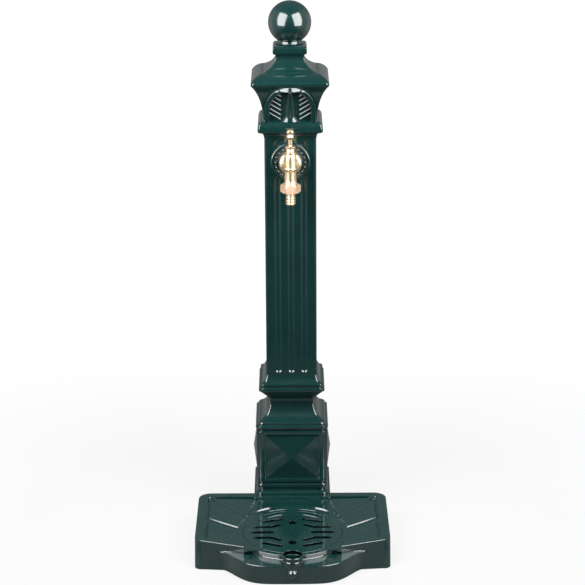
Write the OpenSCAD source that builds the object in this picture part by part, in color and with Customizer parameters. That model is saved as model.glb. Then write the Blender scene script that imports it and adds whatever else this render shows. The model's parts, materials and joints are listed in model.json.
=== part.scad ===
// Garden standpipe: a cast post with a brass hose tap above a drained tray.
// Millimetres, +Z up, the front faces -Y, the origin is under the middle of the footprint.

/* [Tray] */
// Width of the tray
tray_w = 339; // [310:1:370]
// Height of the tray rim and of the platform under the post
tray_h = 50; // [46:1:60]
// Distance from the post axis forward to the back edge of the tray
tray_back = 53; // [45:1:60]
// Distance from the post axis forward to the front corners of the tray
tray_front = 252; // [244:1:262]
// Cut on the front corners of the tray
tray_nose = 9; // [6:1:12]
// Rounding of the back corners of the tray
tray_corner_r = 22; // [10:1:35]
// Thickness of the cast walls and floors of the tray
tray_wall = 5; // [4:0.5:6]
// Width of the flat rim round the panels
rim_w = 17; // [10:1:20]
// Height of the panels where they meet the grate ring
panel_low = 43; // [41:0.5:44]
// Rise of the panels from the grate ring to the far corners
panel_rise = 4; // [2:0.5:6]
// Height of the bow apron in front of the ring
apron_h = 34; // [28:1:36]
// Half width of the bow apron at its tips
bow_half_w = 127; // [115:1:135]
// Distance from the post axis forward to the tips of the bow
bow_tip = 266; // [262:1:275]
// Distance from the post axis forward to the front of the bow
bow_front = 325; // [318:1:335]
// How long the wave of the bow stays full before it falls back to the tips
bow_power = 2.45; // [1.8:0.05:3]
// Half distance between the inner ends of the slanting front edges
slant_half = 84; // [80:1:90]
// Distance from the post axis forward to the inner ends of the slanting front edges
slant_front = 281; // [276:1:288]
// Width of the upper grooves between the raised panels
groove_w = 9; // [6:0.5:12]
// Width of the lower grooves between the raised panels
low_groove_w = 11; // [8:0.5:14]
// Angle at the ring of the upper grooves
groove_near = 34; // [32:0.5:36]
// Angle at the rim of the upper grooves
groove_far = 42; // [40:0.5:44]
// Angle at the ring of the lower grooves
low_groove_near = 5; // [3:0.5:8]
// Angle at the rim of the lower grooves
low_groove_far = 17.5; // [15:0.5:20]
// Height of the raised panels above the grooves
panel_step = 2.5; // [1:0.5:3]
// Width of the gutter between the rim and the raised panels
gutter_w = 3; // [2:0.5:5]
// Half width of the middle panel at the platform
tongue_back = 63; // [58:1:66]
// Half width of the middle panel beside the ring
tongue_front = 79; // [74:1:84]
// Half width of the spill that joins the middle panel to the ring
spill_half = 42; // [36:1:48]
// Width of the curved pockets between the middle panel and the ring
pocket_w = 8; // [5:0.5:9]
// Height of the middle panel above its neighbours
tongue_rise = 3; // [1:0.5:4]

/* [Platform] */
// Width of the platform under the pedestal
platform_w = 138; // [134:1:150]
// Distance from the post axis back to the rear of the platform
platform_back = 69; // [67:1:80]
// Distance from the post axis forward to the front edge of the platform
platform_front = 74; // [72:1:80]
// Thickness of the platform deck
deck_t = 6; // [5:0.5:8]

/* [Grate] */
// Diameter of the grate
grate_d = 173; // [168:1:178]
// Thickness of the grate
grate_t = 6; // [5:0.5:8]
// Distance from the post axis forward to the middle of the grate
grate_ahead = 206; // [202:1:209]
// Gap round the grate
grate_gap = 0.5; // [0.3:0.1:1]
// Width of the raised ring round the grate
ring_w = 9; // [8:1:16]
// Width of the seat that carries the grate
seat_w = 7; // [5:0.5:10]
// Width of the grate slots
slot_w = 6.5; // [5:0.5:8]
// Distance between the rows of slots
slot_pitch = 22; // [18:1:24]
// Plain width between the slots and the edge of the grate
slot_margin = 18; // [14:1:22]
// Distance from the middle of the grate to the inner ends of the middle slots
slot_in = 36; // [30:1:40]
// Diameter of the two finger holes in the grate
finger_d = 15; // [12:1:18]
// Distance from the middle of the grate to each finger hole
finger_out = 41; // [36:1:44]
// Depth of the dished middle of the grate
dish_depth = 1; // [0.5:0.5:2]
// Inside depth of the sump below the grate seat
sump_depth = 22; // [18:1:24]
// Bore of the drain collar under the sump
drain_d = 40; // [32:1:50]

/* [Front socket] */
// Distance from the post axis forward to the socket
socket_ahead = 312.5; // [312:0.5:316]
// Bore of the socket that gives room to a spanner
socket_d = 26; // [24:1:28]
// Diameter of the flared mouth of the socket
mouth_d = 33; // [31:0.5:34]
// Depth of the flared mouth
mouth_h = 8; // [6:1:10]
// Diameter of the socket lip
socket_lip_d = 37; // [35:1:38]
// Diameter of the socket belly
socket_belly_d = 34; // [33:1:36]
// Height of the socket floor above the ground
socket_floor = 22; // [16:1:25]
// Height of the socket neck above the socket floor
socket_neck_up = 20; // [18:0.5:21]
// Diameter of the ground anchor hole
anchor_d = 11; // [9:0.5:13]
// Diameter of the round drop below the socket
drop_d = 20; // [16:1:24]

/* [Pedestal] */
// Width of the pedestal foot
foot_w = 132; // [130:1:134]
// Height of the pedestal foot
foot_h = 8; // [6:1:12]
// Width of the pedestal die
die_w = 128; // [124:1:130]
// Height of the pedestal die
die_h = 100; // [92:1:120]
// Cut on each upright edge of the die
die_edge = 8; // [4:0.5:10]
// Width of the pyramid panels
panel_w = 97; // [80:1:100]
// Height of the pyramid panels
panel_h = 85; // [70:1:88]
// Depth of the sunk frames round the pyramids
frame_cut = 2; // [1:0.5:3]
// Width of the flat gap inside each sunk frame
frame_gap = 2; // [1:0.5:4]
// How far the pyramids stand out of the die
pyramid_out = 6; // [3:0.5:8]
// Width of the crown above the die
crown_w = 130; // [128:1:134]
// Height of the crown
crown_h = 14; // [12:1:18]
// Height of the hollow roof above the crown
roof_h = 30; // [26:1:36]
// Width of the waist between the roof and the belt
waist_w = 77; // [76:1:84]
// Height of the straight part of the waist
waist_h = 5; // [3:1:10]
// Height of the slope under the belt
under_h = 19; // [14:1:24]
// Width of the belt under the column
belt_w = 117.5; // [112:0.5:122]
// Height of the belt
belt_h = 6; // [5:1:8]
// Height of the shoulder from the belt up to the column
shoulder_h = 17; // [12:1:22]
// Height of the narrow grooves between the mouldings
quirk_h = 5; // [3:0.5:6]
// Depth of the narrow grooves between the mouldings
quirk_in = 3.5; // [2:0.5:5]
// Height of the round bead under the die
bead_h = 11; // [8:1:14]
// Wall of the pedestal
pedestal_wall = 8; // [6:0.5:10]

/* [Column] */
// Width of the square column
column_w = 90; // [86:1:94]
// Wall of the column
column_wall = 7.5; // [6.5:0.5:8.5]
// Cut on each upright edge of the column
column_edge = 3; // [1:0.5:5]
// Radius of the round bottom of the flutes
flute_r = 8.5; // [7:0.5:10]
// Depth of the flutes
flute_depth = 3.5; // [2:0.5:4]
// Distance between neighbouring flutes
flute_pitch = 23; // [20:0.5:25]
// Plain length above and below the flutes
flute_margin = 5; // [4:1:20]
// Length of the spigots that locate the column
spigot_h = 20; // [12:1:22]
// Gap round the spigots
spigot_gap = 0.3; // [0.2:0.05:0.6]

/* [Capital] */
// Height of the hollow moulding under the collar
neck_h = 9.5; // [6:0.5:14]
// Width of the collar
collar_w = 112.5; // [106:0.5:118]
// Height of the upright part of the collar
collar_h = 6.5; // [4:0.5:10]
// Height of the round top of the collar
collar_round_h = 14; // [10:1:18]
// Width of the bell at its foot
bell_w = 93; // [91:0.5:98]
// Height of the bell
bell_h = 63; // [58:1:72]
// Width of the cornice
cornice_w = 134; // [128:1:140]
// Cut on each corner of the cornice
cornice_edge = 4; // [2:0.5:8]
// Height of the upright part of the cornice
cornice_h = 5; // [3:0.5:8]
// Height of the round top of the cornice
cornice_round_h = 14; // [10:1:18]
// Width of the fillet at the foot of the roof
fillet_w = 88; // [80:1:96]
// Height of the fillet at the foot of the roof
fillet_h = 2; // [1:0.5:4]
// Height of the hollow roof of the capital
hood_h = 21.5; // [16:0.5:26]
// Width of the neck under the cap
hood_w = 48; // [40:1:50]
// Height of the neck under the cap
hood_neck_h = 6; // [4:0.5:10]
// Width of the cap
cap_w = 59; // [54:1:64]
// Height of the cap
cap_h = 14.5; // [12:0.5:18]
// Wall of the capital round its inner hollow
capital_wall = 15; // [14:0.5:17]
// Outer radius of the arch
arch_r = 43.5; // [40:0.5:44]
// Width of the arch band
arch_band = 7.5; // [5:0.5:9]
// How far the arch stands in front of the bell at its foot
arch_ahead = 5.5; // [3:0.5:7]
// How far the head of the arch stands back from the cornice
arch_set = 2; // [1:0.5:4]
// Depth of the block behind the arch
arch_block = 30; // [24:1:34]
// Depth of the niche inside the arch
niche_depth = 9; // [7:0.5:10]
// Number of palmette leaves on each side
leaf_count = 6; // [4:1:7]
// Thickness of the palmette leaves
leaf_d = 5; // [3:0.5:6]
// Height left free above the palmette leaves
leaf_room = 12; // [8:1:16]
// How far the lowest leaves start below the foot of the bell
leaf_drop = 8.2; // [4:0.1:12]
// Slope of the palmette leaves
leaf_slope = 32; // [25:1:40]
// Radius of the palmette stem at its foot
stem_r = 9; // [7:0.5:11]

/* [Finial] */
// Diameter of the ball
ball_d = 74.5; // [68:0.5:80]
// Diameter of the neck under the ball
ball_neck_d = 42; // [36:1:48]
// Diameter of the foot of the neck
ball_foot_d = 50; // [48:1:52]
// Height of the neck under the ball
ball_neck_h = 6; // [4:0.5:9]

/* [Tie rod and bolts] */
// Diameter of the tie rod
rod_d = 12; // [10:1:14]
// Depth of the tie rod in the ball
rod_in_ball = 26; // [18:1:32]
// Clearance round rods and bolts where they pass through
pass_gap = 0.5; // [0.3:0.1:0.8]
// Clearance of a thread in its mating thread
thread_gap = 0.05; // [0.03:0.01:0.08]
// Diameter of the washer under the deck
plate_d = 24; // [22:0.5:25]
// Thickness of the washer under the deck
plate_t = 3; // [2:0.5:4]
// Height of the tie rod nut
nut_h = 10; // [8:1:12]
// Width of the tie rod nut across its flats
nut_af = 18; // [17:1:22]
// Diameter of the pedestal bolts
bolt_d = 8; // [6:1:10]
// Distance of the pedestal bolts from the post axis, each way
bolt_at = 46; // [44:0.5:47]
// Depth of the pedestal bolts in the pedestal
bolt_in = 16; // [12:1:20]
// Width of the bolt heads across their flats
bolt_af = 13; // [12:1:17]
// Height of the bolt heads
bolt_head_h = 5.3; // [4:0.1:7]
// Diameter of the bosses that the bolts screw into
boss_d = 18; // [16:1:20]

/* [Supply] */
// Height of the tap inlet above the foot of the column
tap_up = 393; // [340:1:480]
// Outer diameter of the riser pipe
riser_d = 21.3; // [20:0.1:22]
// Wall of the riser pipe
riser_wall = 2.6; // [2:0.1:3]
// Outer diameter of the elbow and the inlet socket
fitting_d = 27; // [26:0.2:27]
// Depth of the riser pipe in its fittings
pipe_in = 13; // [10:1:14]
// Depth of the tap shank in the elbow
shank_grip = 9; // [6:0.5:10]
// Height of the mouth of the inlet socket above the ground
inlet_z = 8; // [4:1:9]
// Diameter of the female inlet thread
inlet_d = 18.6; // [18:0.1:19.5]
// Depth of the female inlet thread
inlet_depth = 15; // [12:1:16]

/* [Rosette] */
// Diameter of the rosette
rosette_d = 69; // [64:1:74]
// Bare length of the column above the rosette
rosette_gap = 8.5; // [5:0.5:60]
// Thickness of the rosette at its middle
rosette_t = 8; // [7:0.5:10]
// Width of the raised rim of the rosette
rosette_rim = 5; // [3:0.5:6]
// Diameter of the middle boss of the rosette
rosette_boss_d = 42; // [40:1:44]
// Number of beads round the rosette
bead_count = 20; // [12:1:22]
// Diameter of the beads
bead_d = 5; // [3:0.5:6]

/* [Tap] */
// Distance from the column face forward to the axis of the tap
tap_reach = 44; // [42:1:52]
// Diameter of the threaded inlet shank
shank_d = 20.9; // [20:0.1:21.2]
// Bore of the inlet
inlet_bore = 13; // [11:0.5:14]
// Diameter of the inlet neck between the shoulder and the chamber
inlet_neck_d = 18; // [17:0.5:19]
// Diameter of the inlet shoulder
shoulder_d = 25; // [24:0.5:28]
// Thickness of the inlet shoulder
shoulder_t = 4; // [3:0.5:6]
// Diameter of the inlet flange
flange_d = 40; // [36:1:42]
// Thickness of the inlet flange
flange_t = 7; // [5:0.5:8]
// Thickness of the sealing rings
seal_t = 1.5; // [1:0.1:2]
// Diameter of the chamber
chamber_d = 22.4; // [21.6:0.1:24]
// Height of the chamber above the inlet axis
chamber_up = 26; // [25:0.5:29]
// Bore of the chamber
chamber_bore = 16; // [15.6:0.1:16.6]
// Diameter of the spout
spout_d = 20.6; // [20:0.1:21.2]
// Bore of the spout
spout_bore = 14; // [12:0.5:15]
// Diameter of the ledge between the spout and the chamber
ledge_d = 23.6; // [23:0.1:25]
// Diameter of the threaded nose
nose_d = 26.3; // [26:0.1:26.6]
// Length of the threaded nose
nose_h = 7.5; // [6.5:0.5:9]
// Distance from the inlet axis down to the end of the nose
nose_down = 34.5; // [33:0.5:40]
// Depth of the valve seat below the inlet axis
seat_down = 9.5; // [9:0.5:11]
// Bore of the valve seat
seat_bore = 9; // [8:0.5:10]

/* [Headwork] */
// Diameter of the bonnet flange
bonnet_flange_d = 20; // [19:0.5:21]
// Thickness of the bonnet flange
bonnet_flange_t = 2; // [1.5:0.5:3]
// Diameter of the bonnet
bonnet_d = 14.6; // [14.2:0.1:15.4]
// Height of the bonnet above its flange
bonnet_h = 5; // [4:0.5:7]
// Diameter of the threaded top of the bonnet
bonnet_top_d = 11.2; // [11:0.1:11.6]
// Height of the threaded top of the bonnet
bonnet_top_h = 3; // [2.5:0.5:4]
// Width of the plunger across its flats
plunger_af = 9.4; // [9.2:0.1:9.6]
// Gap between the plunger and its guide, each side
plunger_gap = 0.05; // [0.03:0.01:0.08]
// Height of the plunger
plunger_h = 23; // [22:0.5:24]
// Thickness of the valve washer
valve_washer_t = 2.5; // [2:0.5:3]
// Diameter of the valve washer
valve_washer_d = 13; // [12:0.5:14]
// Diameter of the spindle
spindle_d = 6.5; // [6:0.1:7]
// Diameter of the spindle screw
screw_d = 5; // [4.6:0.1:5.2]
// Diameter of the spindle collar
collar_d = 9.2; // [9:0.1:9.2]
// Thickness of the spindle collar
collar_t = 2; // [1.5:0.5:2.5]
// Gap between the spindle and the parts that it turns in, each side
spindle_gap = 0.05; // [0.03:0.01:0.08]
// Diameter of the gland packing
packing_d = 9.8; // [9.4:0.1:9.8]
// Height of the gland packing
packing_h = 6; // [5:0.5:6.5]
// Width of the gland nut across its flats
gland_af = 14.2; // [14:0.1:16]
// Height of the gland nut
gland_h = 5; // [4.5:0.5:6]

/* [Handle] */
// Length of the crutch bar
bar_l = 42; // [38:1:54]
// Diameter of the ends of the bar
bar_end_d = 12.4; // [11:0.2:14]
// Diameter of the bar between its ends
bar_d = 8.4; // [7.6:0.2:9.6]
// Height of the bar above the inlet axis
bar_up = 59; // [57:0.5:64]
// Length of the handle boss below the bar
handle_boss_h = 11; // [10:0.5:13]
// Diameter of the handle boss
handle_boss_d = 10.4; // [9.6:0.2:12]
// Depth of the spindle below the bar axis
spindle_short = 4; // [3.5:0.5:5]
// Diameter of the handle screw
handle_screw_d = 3; // [2.5:0.5:3.5]
// Diameter of the handle screw head
handle_screw_head_d = 6; // [5:0.5:6.5]
// Height of the handle screw head
handle_screw_head_h = 2; // [1.5:0.5:2.5]
// Length of the handle screw in the spindle
handle_screw_in = 6; // [4:0.5:8]

/* [Hose union] */
// Width of the union nut across its flats
union_af = 30.4; // [30:0.1:32]
// Height of the union nut
union_h = 13.3; // [12.5:0.1:16]
// Height of the inner lip of the union nut
union_lip = 2.6; // [2:0.1:3.5]
// Diameter of the flange of the hose tail
tail_flange_d = 25; // [24:0.5:25.8]
// Thickness of the flange of the hose tail
tail_flange_t = 2.3; // [2:0.1:3]
// Diameter of the hose tail over its barbs
tail_d = 17.5; // [15:0.1:18]
// Depth of the barbs
barb_depth = 1; // [0.5:0.1:1.4]
// Number of barbs
barb_count = 3; // [2:1:4]
// Distance between barbs
barb_pitch = 4.5; // [4:0.5:5]
// Length of the hose tail below its flange
tail_l = 26; // [22:0.5:40]
// Bore of the hose tail
tail_bore = 11.6; // [9:0.1:12]
// Thickness of the hose washer
hose_washer_t = 2; // [1.5:0.1:2.5]
// Free gap between the union nut and the hose tail
union_gap = 0.3; // [0.2:0.1:0.5]

/* [Hidden] */
$fn = 64;
arc_steps = 6;
paint = "#12403a";
brass = "#d6b478";
steel = "#9aa0a3";
fibre = "#a8683f";
black = "#1d1d1f";
// Small overlap that keeps a cut clear of the face that it opens
nip = 1;
front_reach = max(socket_ahead + socket_lip_d / 2, bow_front + drop_d * 0.4);
// The post axis lies behind the origin, so that the footprint is centred on it
back_reach = max(platform_back, die_w / 2 + pyramid_out);
axis_y = (front_reach - back_reach) / 2;
pedestal_h = foot_h + quirk_h + bead_h + die_h + quirk_h + crown_h + roof_h + waist_h + under_h + belt_h
    + quirk_h + shoulder_h;
capital_h = neck_h + collar_h + collar_round_h + bell_h + cornice_h + cornice_round_h + fillet_h + hood_h
    + hood_neck_h + cap_h;
pedestal_z = tray_h;
column_z = pedestal_z + pedestal_h;
column_h = tap_up + rosette_d / 2 + rosette_gap;
capital_z = column_z + column_h;
finial_z = capital_z + capital_h;
tap_z = column_z + tap_up;
column_inner = column_w / 2 - column_wall;
// The riser stands so far forward that the elbow bears on the inside of the column
riser_ahead = column_inner - fitting_d / 2;
spigot_half = column_inner - spigot_gap;
grate_z = panel_low - grate_t;
ring_r = grate_d / 2 + grate_gap + ring_w;
sump_r = grate_d / 2 + grate_gap - seat_w;
sump_floor = grate_z - sump_depth;
// Distances along the tap inlet, counted forward from the column face
washer_out = rosette_t;
flange_out = washer_out + seal_t;
shoulder_out = flange_out + flange_t;
neck_out = shoulder_out + shoulder_t;
tap_y = -column_w / 2 - tap_reach;
shank_in = column_wall + shank_grip;
// Heights of the headwork above the inlet axis
bonnet_z = chamber_up + seal_t;
gland_z = bonnet_z + bonnet_flange_t + bonnet_h;
packing_z = gland_z + bonnet_top_h - packing_h;
guide_top = bonnet_z - seal_t;
plunger_z = -seat_down + valve_washer_t;
spindle_top = bar_up - spindle_short;
screw_seat = bar_up + bar_d / 2 - handle_screw_head_h;
// Heights of the hose union below the inlet axis
tail_top = -nose_down - hose_washer_t;
union_z = tail_top - tail_flange_t - union_gap - union_lip;

// A quarter curve that leaves a upright and arrives at b level, or the part of it between two angles
function arc_up(a, b, sweep = 90, start = 0) = [for (i = [1:arc_steps])
    let (t = start + (sweep - start) * i / arc_steps)
    [a[0] + (b[0] - a[0]) * (cos(start) - cos(t)) / (cos(start) - cos(sweep)),
        a[1] + (b[1] - a[1]) * (sin(t) - sin(start)) / (sin(sweep) - sin(start))]];

// A quarter curve that leaves a level and arrives at b upright, or the part of it between two angles
function arc_out(a, b, sweep = 90, start = 0) = [for (i = [1:arc_steps])
    let (t = start + (sweep - start) * i / arc_steps)
    [a[0] + (b[0] - a[0]) * (sin(t) - sin(start)) / (sin(sweep) - sin(start)),
        a[1] + (b[1] - a[1]) * (cos(start) - cos(t)) / (cos(start) - cos(sweep))]];

// A half outline closed by its mirror image
function both_sides(p) = concat(p, [for (i = [len(p) - 1:-1:0]) [-p[i][0], p[i][1]]]);

// The half outline along the diagonal of a square whose upright edges are cut, more where it is wider
function diagonal(p, edge, widest) = [for (q = p)
    [(2 * q[0] - edge * pow(q[0] / widest, 3)) / sqrt(2), q[1]]];

// Front edge of the bow: a wave that is full in the middle and dies out at the tips
function bow(x, half) = bow_tip
    + (bow_front - bow_tip) * (1 + cos(180 * pow(min(x / half, 1), bow_power))) / 2;

// Half outline of the whole tray, drawn in by a wall
function tray_half(inset) = concat(
    [for (i = [0:arc_steps]) let (t = 90 * i / arc_steps, r = tray_corner_r - min(inset, tray_corner_r - 2))
        [tray_w / 2 - inset - r + r * sin(t), -tray_back - inset - r + r * cos(t)]],
    [[tray_w / 2 - inset, -tray_front + tray_nose + inset / 2],
        [tray_w / 2 - tray_nose - inset / 2, -tray_front - 2 + inset]],
    [for (i = [0:20]) let (half = bow_half_w - inset / 2, x = half * (1 - i / 20))
        [x, inset - bow(x, half)]]);

// Half outline of the upper level, which ends at the slanting front edge
function upper_half(inset) = concat(
    [for (i = [0:arc_steps]) let (t = 90 * i / arc_steps, r = tray_corner_r - min(inset, tray_corner_r - 2))
        [tray_w / 2 - inset - r + r * sin(t), -tray_back - inset - r + r * cos(t)]],
    [[tray_w / 2 - inset, -tray_front + tray_nose + inset / 2],
        [tray_w / 2 - tray_nose - inset / 2, -tray_front - 2 + inset * 0.6],
        [slant_half, -slant_front + inset * 0.6]]);

module on_post() {
    translate([0, axis_y, 0]) children();
}

module on_tap() {
    on_post() translate([0, tap_y, tap_z]) children();
}

// Turns a shape drawn along +Z so that it runs forward from the column face at the height of the inlet
module on_inlet() {
    on_post() translate([0, -column_w / 2, tap_z]) rotate([90, 0, 0]) children();
}

module at_grate() {
    translate([0, -grate_ahead, 0]) children();
}

module profile_slab(p, length) {
    rotate([90, 0, 0]) linear_extrude(length, center = true) polygon(both_sides(p));
}

// A square moulding with mitred corners and cut upright edges
module moulding(p, edge) {
    widest = max([for (q = p) q[0]]);
    intersection() {
        profile_slab(p, 4 * widest);
        rotate(90) profile_slab(p, 4 * widest);
        rotate(45) profile_slab(diagonal(p, edge, widest), 4 * widest);
        rotate(-45) profile_slab(diagonal(p, edge, widest), 4 * widest);
    }
}

module square_block(half, z0, z1) {
    translate([-half, -half, z0]) cube([2 * half, 2 * half, z1 - z0]);
}

// A flat slot with round ends
module slot(a, b, width) {
    run = norm(b - a);
    translate(a) rotate(atan2(b[1] - a[1], b[0] - a[0])) {
        translate([0, -width / 2]) square([run, width]);
        circle(d = width);
        translate([run, 0]) circle(d = width);
    }
}

module hexagon(af, h) {
    cylinder(d = af / cos(30), h = h, $fn = 6);
}

// A hexagon with its corners turned off at both ends
module turned_hexagon(af, h, bevel) {
    corner = af / cos(30) / 2;
    intersection() {
        hexagon(af, h);
        rotate_extrude() polygon([[0, 0], [corner - 2 * bevel, 0], [corner, bevel], [corner, h - bevel],
            [corner - 2 * bevel, h], [0, h]]);
    }
}

// Everything under the sloping panels, raised or lowered by rise
module under_panels(rise) {
    reach = tray_w;
    slope = panel_rise / (tray_w / 2);
    top = panel_low + rise;
    at_grate() rotate_extrude($fn = 96) polygon([[0, 0], [reach, 0], [reach, top + slope * (reach - ring_r)],
        [ring_r, top], [0, top]]);
}

module tray_plan(inset) {
    polygon(both_sides(tray_half(inset)));
}

module upper_plan(inset) {
    polygon(both_sides(upper_half(inset)));
}

// The raised middle panel, held back from the ring by a curved pocket on each side
module tongue_plan() {
    side_y = -grate_ahead + sqrt(ring_r * ring_r - tongue_front * tongue_front);
    spill_y = -grate_ahead + sqrt(ring_r * ring_r - spill_half * spill_half) - nip;
    difference() {
        polygon(both_sides([[tongue_back, -platform_front], [tongue_front, side_y]]));
        translate([0, -grate_ahead]) circle(ring_r + pocket_w, $fn = 96);
    }
    translate([-spill_half, spill_y]) square([2 * spill_half, -platform_front - spill_y]);
}

// Grooves that lead from the rim to the ring, between the raised panels
module grooves_plan() {
    near_angles = [groove_near, low_groove_near];
    far_angles = [groove_far, low_groove_far];
    far_reach = [tray_w / 2 + 12, tray_w / 2 - rim_w];
    widths = [groove_w, low_groove_w];
    for (s = [-1, 1], i = [0, 1]) slot(
        [s * ring_r * cos(near_angles[i]), -grate_ahead + ring_r * sin(near_angles[i])],
        [s * far_reach[i] * cos(far_angles[i]), -grate_ahead + far_reach[i] * sin(far_angles[i])], widths[i]);
}

// The raised panels: what the rim, the ring, the grooves and the middle panel leave
module panels_plan() {
    side_y = -grate_ahead + sqrt(ring_r * ring_r - tongue_front * tongue_front);
    difference() {
        upper_plan(rim_w + gutter_w);
        translate([0, -grate_ahead]) circle(ring_r + nip, $fn = 96);
        grooves_plan();
        polygon(both_sides([[tongue_back + gutter_w, 0], [tongue_back + gutter_w, -platform_front],
            [tongue_front + gutter_w, side_y]]));
    }
}

module front_boss() {
    belly_r = socket_belly_d / 2;
    lip_r = socket_lip_d / 2;
    neck_z = socket_floor + socket_neck_up;
    translate([0, -socket_ahead, 0]) rotate_extrude() polygon(concat(
        [[0, 0], [belly_r - 4, 0], [belly_r - 4, socket_floor - 4], [belly_r - 2, socket_floor]],
        arc_up([belly_r - 2, socket_floor], [belly_r, neck_z - 7]),
        arc_up([belly_r, neck_z - 6], [belly_r - 1.2, neck_z]),
        [[lip_r, neck_z + 4], [lip_r, tray_h - 1], [lip_r - 1, tray_h], [0, tray_h]]));
    translate([0, -bow_front + drop_d * 0.1, socket_floor + 2]) sphere(d = drop_d);
}

module tray_solid() {
    intersection() {
        linear_extrude(tray_h) upper_plan(0);
        union() {
            difference() {
                linear_extrude(tray_h) upper_plan(0);
                translate([0, 0, -nip]) linear_extrude(tray_h + 2 * nip) upper_plan(rim_w);
                translate([-slant_half, -slant_front - nip, -nip])
                    cube([2 * slant_half, 2 * rim_w, tray_h + 2 * nip]);
            }
            under_panels(0);
            intersection() {
                linear_extrude(tray_h) tongue_plan();
                under_panels(tongue_rise);
            }
            intersection() {
                linear_extrude(tray_h) panels_plan();
                under_panels(panel_step);
            }
        }
    }
    linear_extrude(apron_h) tray_plan(0);
    at_grate() cylinder(r = ring_r, h = panel_low, $fn = 96);
}

module tray_hollow() {
    difference() {
        union() {
            intersection() {
                translate([0, 0, -nip]) linear_extrude(tray_h) upper_plan(tray_wall);
                translate([0, 0, -nip]) under_panels(nip - tray_wall);
            }
            translate([0, 0, -nip]) linear_extrude(apron_h - tray_wall + nip) tray_plan(tray_wall);
        }
        at_grate() cylinder(r = sump_r + tray_wall, h = tray_h, $fn = 96);
        at_grate() translate([0, 0, grate_z - tray_wall]) cylinder(r = ring_r + 1, h = tray_h, $fn = 96);
        front_boss();
    }
    platform_inner = platform_w / 2 - tray_wall;
    translate([-platform_inner, -platform_front - nip, -nip])
        cube([2 * platform_inner, platform_front + platform_back - tray_wall + nip, tray_h - deck_t + nip]);
}

module basin() {
    color(paint) on_post() difference() {
        union() {
            difference() {
                union() {
                    tray_solid();
                    translate([-platform_w / 2, -platform_front, 0])
                        cube([platform_w, platform_front + platform_back, tray_h]);
                }
                tray_hollow();
            }
            front_boss();
            at_grate() cylinder(d = drain_d + 2 * tray_wall, h = sump_floor);
        }
        at_grate() {
            translate([0, 0, grate_z]) cylinder(d = grate_d + 2 * grate_gap, h = tray_h, $fn = 96);
            translate([0, 0, sump_floor]) cylinder(r = sump_r, h = tray_h, $fn = 96);
            translate([0, 0, -nip]) cylinder(d = drain_d, h = tray_h);
            difference() {
                translate([0, 0, -nip]) cylinder(r = sump_r, h = sump_floor - tray_wall + nip, $fn = 96);
                translate([0, 0, -2 * nip]) cylinder(d = drain_d + 2 * tray_wall, h = tray_h);
            }
        }
        translate([0, -socket_ahead, socket_floor]) cylinder(d = socket_d, h = tray_h);
        translate([0, -socket_ahead, tray_h - mouth_h])
            cylinder(d1 = socket_d, d2 = mouth_d + (mouth_d - socket_d) * nip / mouth_h, h = mouth_h + nip);
        translate([0, -socket_ahead, -nip]) cylinder(d = anchor_d, h = tray_h);
        translate([0, 0, tray_h - deck_t - nip]) cylinder(d = rod_d + 2 * pass_gap, h = deck_t + 2 * nip);
        translate([0, -riser_ahead, tray_h - deck_t - nip])
            cylinder(d = riser_d + 2 * pass_gap, h = deck_t + 2 * nip);
        bolts_at() translate([0, 0, tray_h - deck_t - nip])
            cylinder(d = bolt_d + 2 * pass_gap, h = deck_t + 2 * nip);
    }
}

// One slot row of the grate: its outer end lies on a circle, its inner end bends away from the middle
module grate_slots() {
    rim = grate_d / 2 - slot_margin;
    row = slot_pitch;
    for (s = [-1, 1]) {
        slot([s * slot_in, 0], [s * rim, 0], slot_w);
        for (t = [-1, 1]) {
            slot([s * (slot_in + 2), t * row], [s * (rim - 5), t * row], slot_w);
            slot([s * (slot_in - 13), t * (row + 9)], [s * (slot_in + 2), t * row], slot_w);
            slot([s * (slot_in - 15), t * (2 * row + 11)], [s * (rim - 19), t * 2 * row], slot_w);
        }
    }
}

module grate() {
    color(paint) on_post() at_grate() translate([0, 0, grate_z]) difference() {
        cylinder(d = grate_d, h = grate_t, $fn = 96);
        translate([0, 0, grate_t - dish_depth]) cylinder(d = grate_d - 26, h = grate_t, $fn = 96);
        translate([0, 0, -nip]) linear_extrude(grate_t + 2 * nip) {
            grate_slots();
            for (t = [-1, 1]) translate([0, t * finger_out]) circle(d = finger_d);
        }
    }
}

module bolts_at() {
    for (x = [-1, 1], y = [-1, 1]) translate([x * bolt_at, y * bolt_at, 0]) children();
}

// Half outline of the pedestal from its foot to the column
function pedestal_half() = let (
        z1 = foot_h,
        z2 = z1 + quirk_h,
        z3 = z2 + bead_h,
        z4 = z3 + die_h,
        z5 = z4 + quirk_h,
        z6 = z5 + crown_h,
        z7 = z6 + roof_h,
        z8 = z7 + waist_h,
        z9 = z8 + under_h,
        z10 = z9 + belt_h,
        z11 = z10 + quirk_h,
        die = die_w / 2,
        crown = crown_w / 2,
        belt = belt_w / 2,
        groove = die - quirk_in)
    concat([[foot_w / 2, 0], [foot_w / 2, z1 * 0.6], [groove + 1, z1], [groove, z1], [groove, z2]],
        arc_out([groove, z2], [die, z2 + bead_h / 2]),
        arc_up([die, z2 + bead_h / 2], [groove, z3 - 1]),
        [[groove, z3], [die, z3 + 1.5], [die, z4 - 0.5], [groove, z4 + 1], [groove, z5 - 1],
            [crown, z5], [crown, z5 + crown_h * 0.3], [crown - 4, z5 + crown_h * 0.4]],
        arc_up([crown - 4, z5 + crown_h * 0.5], [crown - 9, z5 + crown_h * 0.9], 75),
        arc_out([crown - 11, z6], [waist_w / 2, z7], 85, 25),
        [[waist_w / 2, z8], [belt - 2, z9], [belt, z9 + 1], [belt, z10], [belt - quirk_in, z10 + 1],
            [belt - quirk_in, z11 - 1], [belt - 2, z11]],
        arc_out([belt - 2.5, z11 + 3], [column_w / 2 + 0.5, z11 + shoulder_h], 60));

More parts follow.
